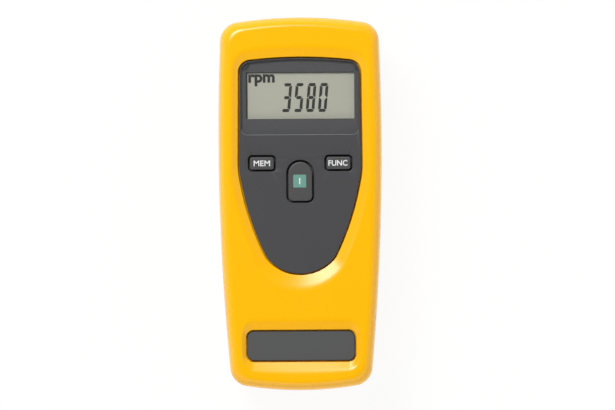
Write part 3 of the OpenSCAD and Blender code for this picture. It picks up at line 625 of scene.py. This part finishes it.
def tone_group():
    """Slow change of colour and roughness over a surface."""
    group = bpy.data.node_groups.get("Surface Tone")
    if group:
        return group
    group, given, end = node_group(
        "Surface Tone",
        {"Color": (1, 1, 1, 1), "Shade": (0, 0, 0, 1), "Amount": 0.05, "Scale": 60.0, "Smooth": 0.3, "Rough": 0.4},
        ["Color", "Roughness"])
    place_at = add_node(group, "TexCoord").outputs["Object"]
    slow = add_node(group, "TexNoise", {"Vector": place_at, "Scale": given["Scale"], "Detail": 6}).outputs["Fac"]
    share = add_math(group, "MULTIPLY", slow, given["Amount"])
    spread = add_node(group, "MapRange", {"Value": slow, "To Min": given["Smooth"], "To Max": given["Rough"]})
    group.links.new(add_mix(group, share, given["Color"], given["Shade"]), end.inputs["Color"])
    group.links.new(spread.outputs["Result"], end.inputs["Roughness"])
    return group


def finish(name, colour, smooth, rough, amount=0.06, scale=60, grain=2500, depth=0.00001, metal=0.0, shade=None,
           shine=0.5):
    """Moulded, printed or metal finish: colour and roughness that vary, over a fine grain."""
    material = bpy.data.materials.get(name)
    if material:
        return material
    material = bpy.data.materials.new(name)
    material.use_nodes = True
    tree = material.node_tree
    shader = tree.nodes["Principled BSDF"]
    shader.inputs["Metallic"].default_value = metal
    shader.inputs["Specular IOR Level"].default_value = shine
    tone = add_node(tree, "Group", {
        "Color": (*colour, 1), "Shade": (*(shade or [c * 0.6 for c in colour]), 1), "Amount": amount,
        "Scale": scale, "Smooth": smooth, "Rough": rough}, node_tree=tone_group())
    tree.links.new(tone.outputs["Color"], shader.inputs["Base Color"])
    tree.links.new(tone.outputs["Roughness"], shader.inputs["Roughness"])
    if depth:
        skin = add_node(tree, "Group", {"Scale": grain}, node_tree=grain_group())
        bump = add_node(tree, "Bump", {"Distance": depth, "Strength": 0.5, "Height": skin.outputs["Height"]})
        tree.links.new(bump.outputs["Normal"], shader.inputs["Normal"])
    return material


def clear_finish(name, colour, alpha, smooth, rough):
    """Clear plastic that lets the light through."""
    material = finish(name, colour, smooth, rough, amount=0.05, depth=0)
    material.node_tree.nodes["Principled BSDF"].inputs["Alpha"].default_value = alpha
    return material


def cell_group():
    """Print along a cell: wrap, band towards the button, bare ends. The two cells lie head to tail."""
    group, given, end = node_group(
        "Cell Print",
        {"Wrap": (0, 0, 0, 1), "Band": (1, 1, 1, 1), "Metal": (1, 1, 1, 1), "Middle": 0.0, "Half": 0.025},
        ["Color", "Metallic"])
    axes = add_node(group, "SeparateXYZ", {0: add_node(group, "TexCoord").outputs["Object"]}).outputs
    side = add_math(group, "SIGN", add_math(group, "MULTIPLY", axes["X"], -1))
    turned = add_math(group, "MULTIPLY", side, add_math(group, "SUBTRACT", axes["Y"], given["Middle"]))
    along = add_math(group, "DIVIDE", turned, given["Half"])
    banded = add_math(group, "GREATER_THAN", along, BAND_START)
    off_middle = add_math(group, "ABSOLUTE", add_math(group, "ADD", along, WRAP_SHIFT))
    bare = add_math(group, "GREATER_THAN", off_middle, WRAP_END)
    colour = add_mix(group, bare, add_mix(group, banded, given["Wrap"], given["Band"]), given["Metal"])
    group.links.new(colour, end.inputs["Color"])
    group.links.new(bare, end.inputs["Metallic"])
    return group


def cell_finish(colours):
    """Printed wrap of a cell, with a band at its button end and bare metal ends."""
    material = finish("Cell wrap", colours.wrap, 0.25, 0.35, depth=0)
    tree = material.node_tree
    shader = tree.nodes["Principled BSDF"]
    tone = shader.inputs["Base Color"].links[0].from_socket
    low, high = LOW["battery_left"].y, HIGH["battery_left"].y
    middle = (LOW["battery_right"].y + HIGH["battery_right"].y + low + high) / 4
    wrap = add_node(tree, "Group", {
        "Wrap": tone, "Band": (*colours.band, 1), "Metal": (*colours.metal, 1), "Middle": middle,
        "Half": (high - low) / 2}, node_tree=cell_group())
    tree.links.new(wrap.outputs["Color"], shader.inputs["Base Color"])
    tree.links.new(wrap.outputs["Metallic"], shader.inputs["Metallic"])
    return material


def colours_of(context):
    """Colours of the settings."""
    return context.scene.tacho.colours


def case_material(context):
    """Moulded yellow finish of the case."""
    yellow = colours_of(context).case
    return finish("Moulded yellow", yellow, 0.24, 0.3, amount=0.05, scale=45, grain=2600, depth=0.000004,
                  shade=(yellow[0] * 0.93, yellow[1] * 0.88, yellow[2]), shine=0.44)


def black_plastic(colours):
    """Black moulding of the bezel and of the small parts inside."""
    return finish("Black plastic", colours.black, 0.38, 0.5, amount=0.1, scale=80, grain=3000, depth=0.000008)


def metal_finish(name, colour, smooth, rough, scale):
    """Turned or plated metal."""
    return finish(name, colour, smooth, rough, scale=scale, grain=6000, depth=0.000004, metal=1.0)


def brass(colours):
    """Turned brass."""
    return metal_finish("Turned brass", colours.brass, 0.22, 0.34, 400)


def steel(colours):
    """Plated steel."""
    return metal_finish("Plated steel", colours.metal, 0.2, 0.36, 500)


# Operators

class TACHO_OT_front_case(Operator):
    """Builds the front half of the case with its dished recesses."""
    bl_idname = "tacho.front_case"
    bl_label = "Front case"

    def execute(self, context):
        size = context.scene.tacho.case
        dish = context.scene.tacho.dish
        panel = context.scene.tacho.panel
        plan = case_outline(size)
        split = LOW["front_case"].z
        face = HIGH["front_case"].z
        panel_z = HIGH["display_lens"].z
        panel_low = panel_z - panel.thickness
        ledge = panel_low - dish.floor
        plate_z = HIGH["name_plate"].z
        plate_low = LOW["name_plate"].z
        ceiling = face - size.wall
        skin = Skin()

        def case_ring(inward, z):
            across = 1 - inward / size.half_width
            along = 1 - inward / size.half_length
            return skin.ring([(p[0] * across, p[1] * along) for p in plan], z)

        def edge(t, steps):
            rings = []
            for i in range(steps + 1):
                a = math.pi / 2 * i / steps
                inward = size.draft + t + (size.edge_width - t) * (1 - math.cos(a))
                rings.append(case_ring(inward, face - size.edge_height + (size.edge_height - t) * math.sin(a)))
            return rings

        def slope(points, gap, depth_z, widths, bends, bow=0.0):
            top, side, low = widths
            half = max(p[0] for p in points)
            rings = []
            for share in (1, 0.92, 0.84, 0.76, 0.68, 0.6, 0.5, 0.25, 0):
                flat = []
                for x, y, nx, ny in points:
                    foot = low * (1 - bow * (x / half) ** 2)
                    width = side + ((top - side) * ny ** bends[0] if ny > 0 else (foot - side) * (-ny) ** bends[1])
                    out = gap + dish.land + share * width
                    flat.append((x + nx * out, y + ny * out))
                rings.append(skin.ring(flat, depth_z + (face - depth_z) * slope_rise(share, dish.rim)))
            rings.append(skin.grown(points, gap + dish.land * 0.3, depth_z - dish.land * 0.3))
            rings.append(skin.grown(points, gap, depth_z - dish.land))
            return rings

        shield = panel_outline(panel)
        label = subdivided(plate_outline(panel), 0.002)
        outside = [case_ring(size.seam, split), case_ring(size.seam * 0.25, split + size.seam * 0.6),
                   case_ring(0, split + size.seam * 1.2)] + edge(0, 16)
        inside = [case_ring(size.wall, split)] + edge(size.wall, 5)
        collar = dish.gap + dish.collar
        recess = slope(shield, dish.gap, panel_z, (dish.top, dish.side, dish.tip), (2, 1))
        recess += [skin.grown(shield, dish.gap, panel_low), skin.grown(shield, -panel.ledge, panel_low),
                   skin.grown(shield, -panel.ledge, ledge), skin.grown(shield, collar, ledge),
                   skin.grown(shield, collar, ceiling)]
        pocket = slope(label, dish.plate_gap, plate_z, (dish.plate_top, dish.plate_side, dish.plate_low), (3, 3),
                       dish.plate_bow)
        pocket.append(skin.grown(label, dish.plate_gap, plate_low))
        collar = dish.plate_gap + dish.collar
        pad = [skin.grown(label, collar, plate_low - dish.floor), skin.grown(label, collar, ceiling)]
        skin.bridge(outside)
        skin.fill(outside[-1], [recess[0], pocket[0]], up=True)
        skin.bridge(recess)
        skin.bridge(pocket)
        skin.fill(pocket[-1], up=True)
        skin.bridge(pad)
        skin.fill(pad[0], up=False)
        skin.fill(inside[-1], [recess[-1], pad[-1]], up=False)
        skin.bridge(inside[::-1] + [outside[0]])
        case = skin.piece("case_front", [case_material(context)], "housing", "case_yellow", ["front_case"])
        self.cut_bezel(case, context)
        return {"FINISHED"}

    def cut_bezel(self, case, context):
        """Opens the sensor end for the bezel."""
        gap = 0.0001
        flange = 0.0012
        corner = 0.0041
        reach = 0.008
        edge = 0.0001
        cutter = Skin()
        half = HIGH["sensor_bezel"].x - flange + gap
        z = (HIGH["sensor_bezel"].z + LOW["sensor_bezel"].z) / 2
        tall = HIGH["sensor_bezel"].z - LOW["sensor_bezel"].z - 2 * flange + 2 * gap
        cutter.slab(rectangle(half * 2, tall, corner, 0), 0, reach, edge)
        for i, (x, y, depth) in enumerate(cutter.points):
            cutter.points[i] = (-x, LOW["sensor_bezel"].y + depth, z + y)
        mesh = bpy.data.meshes.new("bezel_cutter")
        mesh.from_pydata(cutter.points, [], cutter.faces)
        tool = bpy.data.objects.new("bezel_cutter", mesh)
        context.scene.collection.objects.link(tool)
        cut = case.modifiers.new("Bezel opening", "BOOLEAN")
        cut.object = tool
        cut.operation = "DIFFERENCE"
        cut.solver = "EXACT"
        case.modifiers.move(len(case.modifiers) - 1, 0)
        context.view_layer.update()
        shell = bpy.data.meshes.new_from_object(case.evaluated_get(context.evaluated_depsgraph_get()))
        if len(shell.polygons) < 1000:
            raise RuntimeError("the bezel opening could not be cut")
        case.modifiers.clear()
        case.data = shell
        shell.name = "case_front"
        smooth_faces(shell)
        shell.set_sharp_from_angle(angle=SHARP_ANGLE)
        even_shading(case)
        bpy.data.objects.remove(tool)
        bpy.data.meshes.remove(mesh)


class TACHO_OT_rear_case(Operator):
    """Finishes the rear half, the battery door, the tripod bush and the case screws."""
    bl_idname = "tacho.rear_case"
    bl_label = "Rear case and door"

    def execute(self, context):
        colours = colours_of(context)
        finish_node("rear_case", case_material(context))
        finish_node("battery_door", case_material(context))
        finish_node("tripod_bush", brass(colours))
        finish_node("case_screws", steel(colours))
        return {"FINISHED"}


def keys_layout(keys, top):
    """Name, outline and middle of each key."""
    small = rectangle(keys.width, keys.height, keys.corner, top - keys.drop)
    arch_y = top - keys.measure_drop
    half = keys.measure_width / 2
    arch = outline([(half, arch_y - keys.measure_height / 2, keys.measure_corner),
                    (half, arch_y + keys.measure_height / 2, half - keys.arch_flat)])
    return [("memory_key", shifted(small, -keys.spread), (-keys.spread, top - keys.drop)),
            ("function_key", shifted(small, keys.spread), (keys.spread, top - keys.drop)),
            ("measure_key", arch, (0, arch_y))]


class TACHO_OT_front_panel(Operator):
    """Builds the dark panel, its clear lens and the bare name plate, whose edge carries a painted shadow."""
    bl_idname = "tacho.front_panel"
    bl_label = "Front panel"

    def execute(self, context):
        colours = colours_of(context)
        size = context.scene.tacho.panel
        keys = context.scene.tacho.keys
        top = HIGH["front_panel"].y
        panel_z = HIGH["display_lens"].z
        low = panel_z - size.thickness
        floor = LOW["display_lens"].z
        shield = panel_outline(size)
        lens = lens_outline(size)
        window = shifted(rectangle(size.window_width, size.window_height, size.window_corner,
                                   top - size.window_drop - size.window_height / 2), size.window_shift)
        skin = Skin()
        foot, rim = skin.rounded_side(shield, low, panel_z, size.edge)
        mouth, seat = skin.rounded_hole(lens, size.lens_gap, panel_z, floor, size.lens_lip)
        view, back = skin.rounded_hole(window, 0, floor, low, size.window_lip)
        upper = [mouth]
        lower = [back]
        for _, points, _ in keys_layout(keys, top):
            hole = skin.rounded_hole(points, keys.gap, panel_z, low, keys.lip)
            upper.append(hole[0])
            lower.append(hole[1])
        skin.fill(rim, upper, up=True)
        skin.fill(seat, [view], up=True)
        skin.fill(foot, lower, up=False)
        posts = ((HIGH["board_screws"].x - size.screw_head, top - keys.drop + size.post_rise),
                 (size.low_post, LOW["front_panel"].y + size.low_post_rise))
        for side in (-1, 1):
            for x, y in posts:
                skin.tube(side * x, y, size.post, size.post_bore, HIGH["main_board"].z, low)
        grey = finish("Panel grey", colours.panel, 0.36, 0.46, amount=0.08, scale=50, grain=3200, depth=0.000006,
                      shine=0.35)
        skin.piece("panel_front", [grey], "housing", "panel_grey", ["front_panel"])

        clear = clear_finish("Clear lens", (0.9, 0.92, 0.93), 0.02, 0.04, 0.08)
        edge = clear_finish("Lens edge", (0.62, 0.64, 0.65), 0.4, 0.15, 0.25)
        skin = Skin()
        skin.slab(lens, floor, panel_z, size.lens_edge)
        foot = LOW["display_lens"].y + size.lens_corner
        for i, face in enumerate(skin.faces):
            if len(face) == 4 and all(skin.points[v][1] < foot for v in face):
                skin.tints[i] = 1
        skin.piece("lens_display", [clear, edge], "housing", "lens_clear", ["display_lens"])

        skin = Skin()
        skin.slab(plate_outline(size), LOW["name_plate"].z, HIGH["name_plate"].z, size.plate_edge, -size.plate_inset)
        # The quads of the plate's sides and rounded edge take the second finish, a dark brown painted shadow of the
        # gap round the plate
        skin.tints = [int(len(face) == 4) for face in skin.faces]
        plate = finish("Plate grey", colours.plate, 0.36, 0.46, amount=0.07, scale=50, grain=3200, depth=0.000006,
                       shine=0.35)
        # Painted shadow for the plate's edge, in place of the shade in the gap round it
        rim = finish("Plate edge painted shadow", colours.rim, 0.45, 0.55, depth=0, shine=0.2)
        skin.piece("plate_bare", [plate, rim], "housing", "panel_grey", ["name_plate"])
        return {"FINISHED"}


SEGMENTS = {"0": "abcdef", "1": "bc", "2": "abdeg", "3": "abcdg", "4": "bcfg", "5": "acdfg", "6": "acdefg",
            "7": "abc", "8": "abcdefg", "9": "abcdfg"}


class TACHO_OT_display(Operator):
    """Finishes the display glass, prints its figures and paints a shadow along the window's left and top."""
    bl_idname = "tacho.display"
    bl_label = "Display"

    def execute(self, context):
        colours = colours_of(context)
        size = context.scene.tacho.display
        finish_node("lcd_glass", finish("Display ground", colours.display, 0.3, 0.4, amount=0.05, scale=40,
                                        grain=4000, depth=0.000003))
        ink = finish("Display ink", colours.ink, 0.4, 0.5, amount=0.12, scale=300, depth=0, shine=0.15)
        z = HIGH["lcd_glass"].z
        loops = []
        for place_in_row, figure in enumerate(size.reading):
            left = size.left + place_in_row * size.pitch
            for segment in SEGMENTS.get(figure, ""):
                bar = self.bar(segment, size.width, size.height, size.stroke)
                loops.append([(left + x + y * math.tan(size.slant), size.low + y) for x, y in bar])
        flat_shape("figures", loops, z, PRINT, ink, "housing", "lcd_green")
        # Painted shadow of the window's wall on the display, in the figures' ink
        self.border(context.scene.tacho.panel, size.painted_shadow_side, size.painted_shadow_head, z, ink)
        lettering("unit", "rpm", (size.unit_x, size.unit_y), (size.unit_width, size.unit_height), z,
                  size.unit_weight, ink, "housing")
        return {"FINISHED"}

    @staticmethod
    def border(panel, side, head, z, ink):
        """Painted shadow: dark strips along the window's left and top, where the window's wall shades the display.
        """
        left, right = panel.window_shift - panel.window_width / 2, panel.window_shift + panel.window_width / 2
        top = HIGH["front_panel"].y - panel.window_drop
        low = top - panel.window_height
        strips = [[(left, low), (left + side, low), (left + side, top - head), (left, top)],
                  [(left, top), (left + side, top - head), (right, top - head), (right, top)]]
        flat_shape("display_painted_shadow", strips, z, PRINT, ink, "housing", "lcd_green")

    @staticmethod
    def bar(segment, width, height, stroke):
        """Bar of one segment, anticlockwise, with blunt chamfered ends."""
        middle = height / stroke / 2
        wide = width / stroke
        if segment == "g":
            bar = [(0.42, middle), (0.75, middle - 0.5), (wide - 0.75, middle - 0.5), (wide - 0.42, middle),
                   (wide - 0.75, middle + 0.5), (0.75, middle + 0.5)]
        elif segment in "ad":
            bar = [(0.55, 0), (wide - 0.55, 0), (wide - 0.25, 0.3), (wide - 0.25, 0.6), (wide - 0.6, 1), (0.6, 1),
                   (0.25, 0.6), (0.25, 0.3)]
        else:
            bar = [(0.9, 1.25), (0.9, middle - 0.78), (0.3, middle - 0.12), (0, middle - 0.12), (0, 0.9),
                   (0.15, 0.75)]
        bar = [(x * stroke, y * stroke) for x, y in bar]
        if segment in "bc":
            bar = [(width - x, y) for x, y in reversed(bar)]
        if segment in "abf":
            bar = [(x, height - y) for x, y in reversed(bar)]
        return bar


class TACHO_OT_keys(Operator):
    """Builds the three keys and their printed legends."""
    bl_idname = "tacho.keys"
    bl_label = "Keys"

    def execute(self, context):
        colours = colours_of(context)
        keys = context.scene.tacho.keys
        low = HIGH["display_lens"].z - context.scene.tacho.panel.thickness
        grey = finish("Key grey", colours.key, 0.4, 0.5, amount=0.08, scale=90, grain=3600, depth=0.000006,
                      shine=0.35)
        white = finish("Legend white", colours.legend, 0.45, 0.55, amount=0.05, scale=200, depth=0)
        green = finish("Mark green", colours.mark, 0.42, 0.52, amount=0.07, scale=200, depth=0)
        for name, points, middle in keys_layout(keys, HIGH["front_panel"].y):
            top = HIGH[name].z
            skin = Skin()
            inside = low - keys.flange_height / 2
            skin.slab(points, inside, top, keys.edge)
            skin.slab(points, low - keys.flange_height, low, keys.flange_edge, keys.gap + keys.flange)
            skin.tube(middle[0], middle[1], keys.stem, 0, LOW[name].z, inside)
            skin.piece(name + "_cap", [grey], name, "key_grey", [name])
            if name == "measure_key":
                y = middle[1] + keys.mark_rise
                mark = shifted(rectangle(keys.mark, keys.mark, keys.mark_corner, y), keys.mark_shift)
                flat_shape("measure_mark", [mark], top, PRINT, green, name, "key_grey")
                bar = shifted(rectangle(keys.bar_width, keys.bar_height, keys.bar_corner, y), keys.mark_shift)
                flat_shape("measure_bar", [bar], top + PRINT, PRINT, white, name, "key_grey")
        top = HIGH["memory_key"].z
        y = HIGH["front_panel"].y - keys.drop
        for name, words, x, wide in (("memory", "MEM", -keys.spread, keys.memory_legend),
                                     ("function", "FUNC", keys.spread + keys.legend_shift, keys.function_legend)):
            lettering(name + "_legend", words, (x, y), (wide, keys.legend), top, keys.legend_weight, white,
                      name + "_key")
        return {"FINISHED"}


class TACHO_OT_sensor_end(Operator):
    """Finishes the bezel, the two lenses and the optics behind them."""
    bl_idname = "tacho.sensor_end"
    bl_label = "Sensor end"

    def execute(self, context):
        colours = colours_of(context)
        for name in ("sensor_bezel", "optics_block"):
            finish_node(name, black_plastic(colours))
        finish_node("laser_barrel", brass(colours))
        finish_node("photodiode", finish("Diode resin", [c * 0.7 for c in colours.black], 0.12, 0.2, depth=0))
        finish_node("receiver_lens", clear_finish("Red lens", colours.lens, 0.86, 0.04, 0.1))
        finish_node("laser_lens", clear_finish("Laser lens", (0.5, 0.55, 0.6), 0.6, 0.03, 0.08))
        return {"FINISHED"}


class TACHO_OT_inner_works(Operator):
    """Finishes the boards, switches, contacts and cells inside."""
    bl_idname = "tacho.inner_works"
    bl_label = "Inner works"

    def execute(self, context):
        colours = colours_of(context)
        board = finish("Board green", colours.board, 0.3, 0.42, amount=0.35, scale=160, depth=0.000004)
        ivory = finish("Plunger ivory", colours.ivory, 0.35, 0.45, depth=0.000004)
        groups = [
            (black_plastic(colours),
             ["lcd_frame", "memory_switch", "function_switch", "measure_switch", "processor_chip",
              "supply_capacitor", "board_link"]),
            (steel(colours),
             ["timing_crystal", "board_screws", "optics_screws", "battery_springs", "bridge_contact",
              "positive_contact", "negative_contact"]),
            (board, ["main_board", "sensor_board"]),
            (ivory, ["memory_plunger", "function_plunger", "measure_plunger"]),
            (finish("Contact strip", colours.strip, 0.5, 0.6, scale=600, amount=0.3), ["contact_strips"]),
            (cell_finish(colours), ["battery_left", "battery_right"]),
        ]
        for material, names in groups:
            for name in names:
                finish_node(name, material)
        return {"FINISHED"}


class TACHO_OT_stage(Operator):
    """Lays the floor, the light and the camera."""
    bl_idname = "tacho.stage"
    bl_label = "Stage"

    def execute(self, context):
        stage = context.scene.tacho.stage
        self.floor(context)
        self.sky(context, stage)
        self.softbox(context, "key_softbox", stage.key_place, (stage.key_width, stage.key_height), stage.key_power)
        camera = bpy.data.objects.new("camera", bpy.data.cameras.new("camera"))
        context.scene.collection.objects.link(camera)
        camera.location = (stage.right, stage.up, stage.height)
        camera.rotation_euler.z = stage.roll
        camera.data.sensor_width = SENSOR
        camera.data.lens = SENSOR * (stage.height - LOW["front_case"].z) / stage.field
        camera.data.clip_end = 50
        context.scene.camera = camera
        context.scene.view_settings.view_transform = "Standard"
        return {"FINISHED"}

    def floor(self, context):
        """Pale floor that reads white to the camera and keeps the shadow."""
        mesh = bpy.data.meshes.new("floor")
        half = 4
        gap = 0.00002
        low = LOW["rear_case"].z - gap
        mesh.from_pydata([(-half, -half, low), (half, -half, low), (half, half, low), (-half, half, low)], [],
                         [(0, 1, 2, 3)])
        floor = bpy.data.objects.new("floor", mesh)
        context.scene.collection.objects.link(floor)
        material = bpy.data.materials.new("Floor")
        material.use_nodes = True
        tree = material.node_tree
        tree.nodes.remove(tree.nodes["Principled BSDF"])
        path = add_node(tree, "LightPath").outputs
        seen = add_math(tree, "ADD", path["Is Camera Ray"], path["Is Glossy Ray"], use_clamp=True)
        seen = add_math(tree, "ADD", seen, path["Is Transmission Ray"], use_clamp=True)
        matt = add_node(tree, "BsdfDiffuse", {"Color": (*colours_of(context).floor, 1)})
        white = add_node(tree, "Emission")
        mix = add_node(tree, "MixShader", {0: add_math(tree, "MULTIPLY", seen, FLOOR_GLOW), 1: matt.outputs[0],
                                           2: white.outputs[0]})
        tree.links.new(mix.outputs[0], tree.nodes["Material Output"].inputs["Surface"])
        mesh.materials.append(material)

    def sky(self, context, stage):
        """Surroundings: white round the horizon and dark overhead."""
        world = bpy.data.worlds.new("Studio")
        context.scene.world = world
        world.use_nodes = True
        tree = world.node_tree
        tree.nodes.clear()
        direction = add_node(tree, "TexCoord").outputs["Generated"]
        axes = add_node(tree, "SeparateXYZ", {0: direction}).outputs
        ramp = add_node(tree, "ValToRGB", {"Fac": axes["Z"]})
        steps = ramp.color_ramp.elements
        steps[0].position, steps[0].color = 0.0, (0.85, 0.85, 0.85, 1)
        steps[1].position, steps[1].color = 0.76, (0.05, 0.05, 0.05, 1)
        for height, shade in ((0.3, 1.0), (0.55, 0.8)):
            steps.new(height).color = (shade, shade, shade, 1)

        def along(vector, weights):
            return add_node(tree, "VectorMath", {0: vector, 1: weights}, operation="DOT_PRODUCT").outputs["Value"]

        squared = add_node(tree, "VectorMath", {0: direction, 1: direction}, operation="MULTIPLY").outputs["Vector"]
        uneven = add_math(tree, "ADD", along(direction, stage.sky_lean), along(squared, stage.sky_spread))
        level = add_math(tree, "MULTIPLY_ADD", uneven, stage.sky, stage.sky)
        around = add_node(tree, "Background", {"Color": ramp.outputs["Color"], "Strength": level})
        add_node(tree, "OutputWorld", {"Surface": around.outputs[0]})

    def softbox(self, context, name, where, size, power):
        """Softbox that faces the middle of the object."""
        lamp = bpy.data.lights.new(name, "AREA")
        lamp.shape = "RECTANGLE"
        lamp.size, lamp.size_y = size
        lamp.energy = power
        box = bpy.data.objects.new(name, lamp)
        context.scene.collection.objects.link(box)
        box.location = where
        box.rotation_euler = (-Vector(where)).to_track_quat("-Z", "Y").to_euler()


class TACHO_PT_build(Panel):
    """Lists the steps and settings of the tachometer."""
    bl_idname = "TACHO_PT_build"
    bl_label = "Laser Tachometer"
    bl_space_type = "VIEW_3D"
    bl_region_type = "UI"
    bl_category = "Tachometer"

    def draw(self, context):
        for step in STEPS:
            self.layout.operator(step.bl_idname)
        for label in ("case", "dish", "panel", "display", "keys", "colours", "stage"):
            group = getattr(context.scene.tacho, label)
            box = self.layout.box()
            box.label(text=label.capitalize())
            for name in group.__annotations__:
                box.prop(group, name, text=name.replace("_", " ").capitalize())


STEPS = (TACHO_OT_front_case, TACHO_OT_rear_case, TACHO_OT_front_panel, TACHO_OT_display, TACHO_OT_keys,
         TACHO_OT_sensor_end, TACHO_OT_inner_works, TACHO_OT_stage)
CLASSES = (TachoCase, TachoDish, TachoPanel, TachoDisplay, TachoKeys, TachoColours, TachoStage, TachoSettings,
           *STEPS, TACHO_PT_build)


def register():
    for cls in CLASSES:
        bpy.utils.register_class(cls)
    bpy.types.Scene.tacho = PointerProperty(type=TachoSettings)


def unregister():
    del bpy.types.Scene.tacho
    for cls in reversed(CLASSES):
        bpy.utils.unregister_class(cls)


def main():
    """Builds every piece."""
    register()
    bpy.ops.tacho.front_case()
    bpy.ops.tacho.rear_case()
    bpy.ops.tacho.front_panel()
    bpy.ops.tacho.display()
    bpy.ops.tacho.keys()
    bpy.ops.tacho.sensor_end()
    bpy.ops.tacho.inner_works()
    bpy.ops.tacho.stage()


if __name__ == "__main__":
    main()
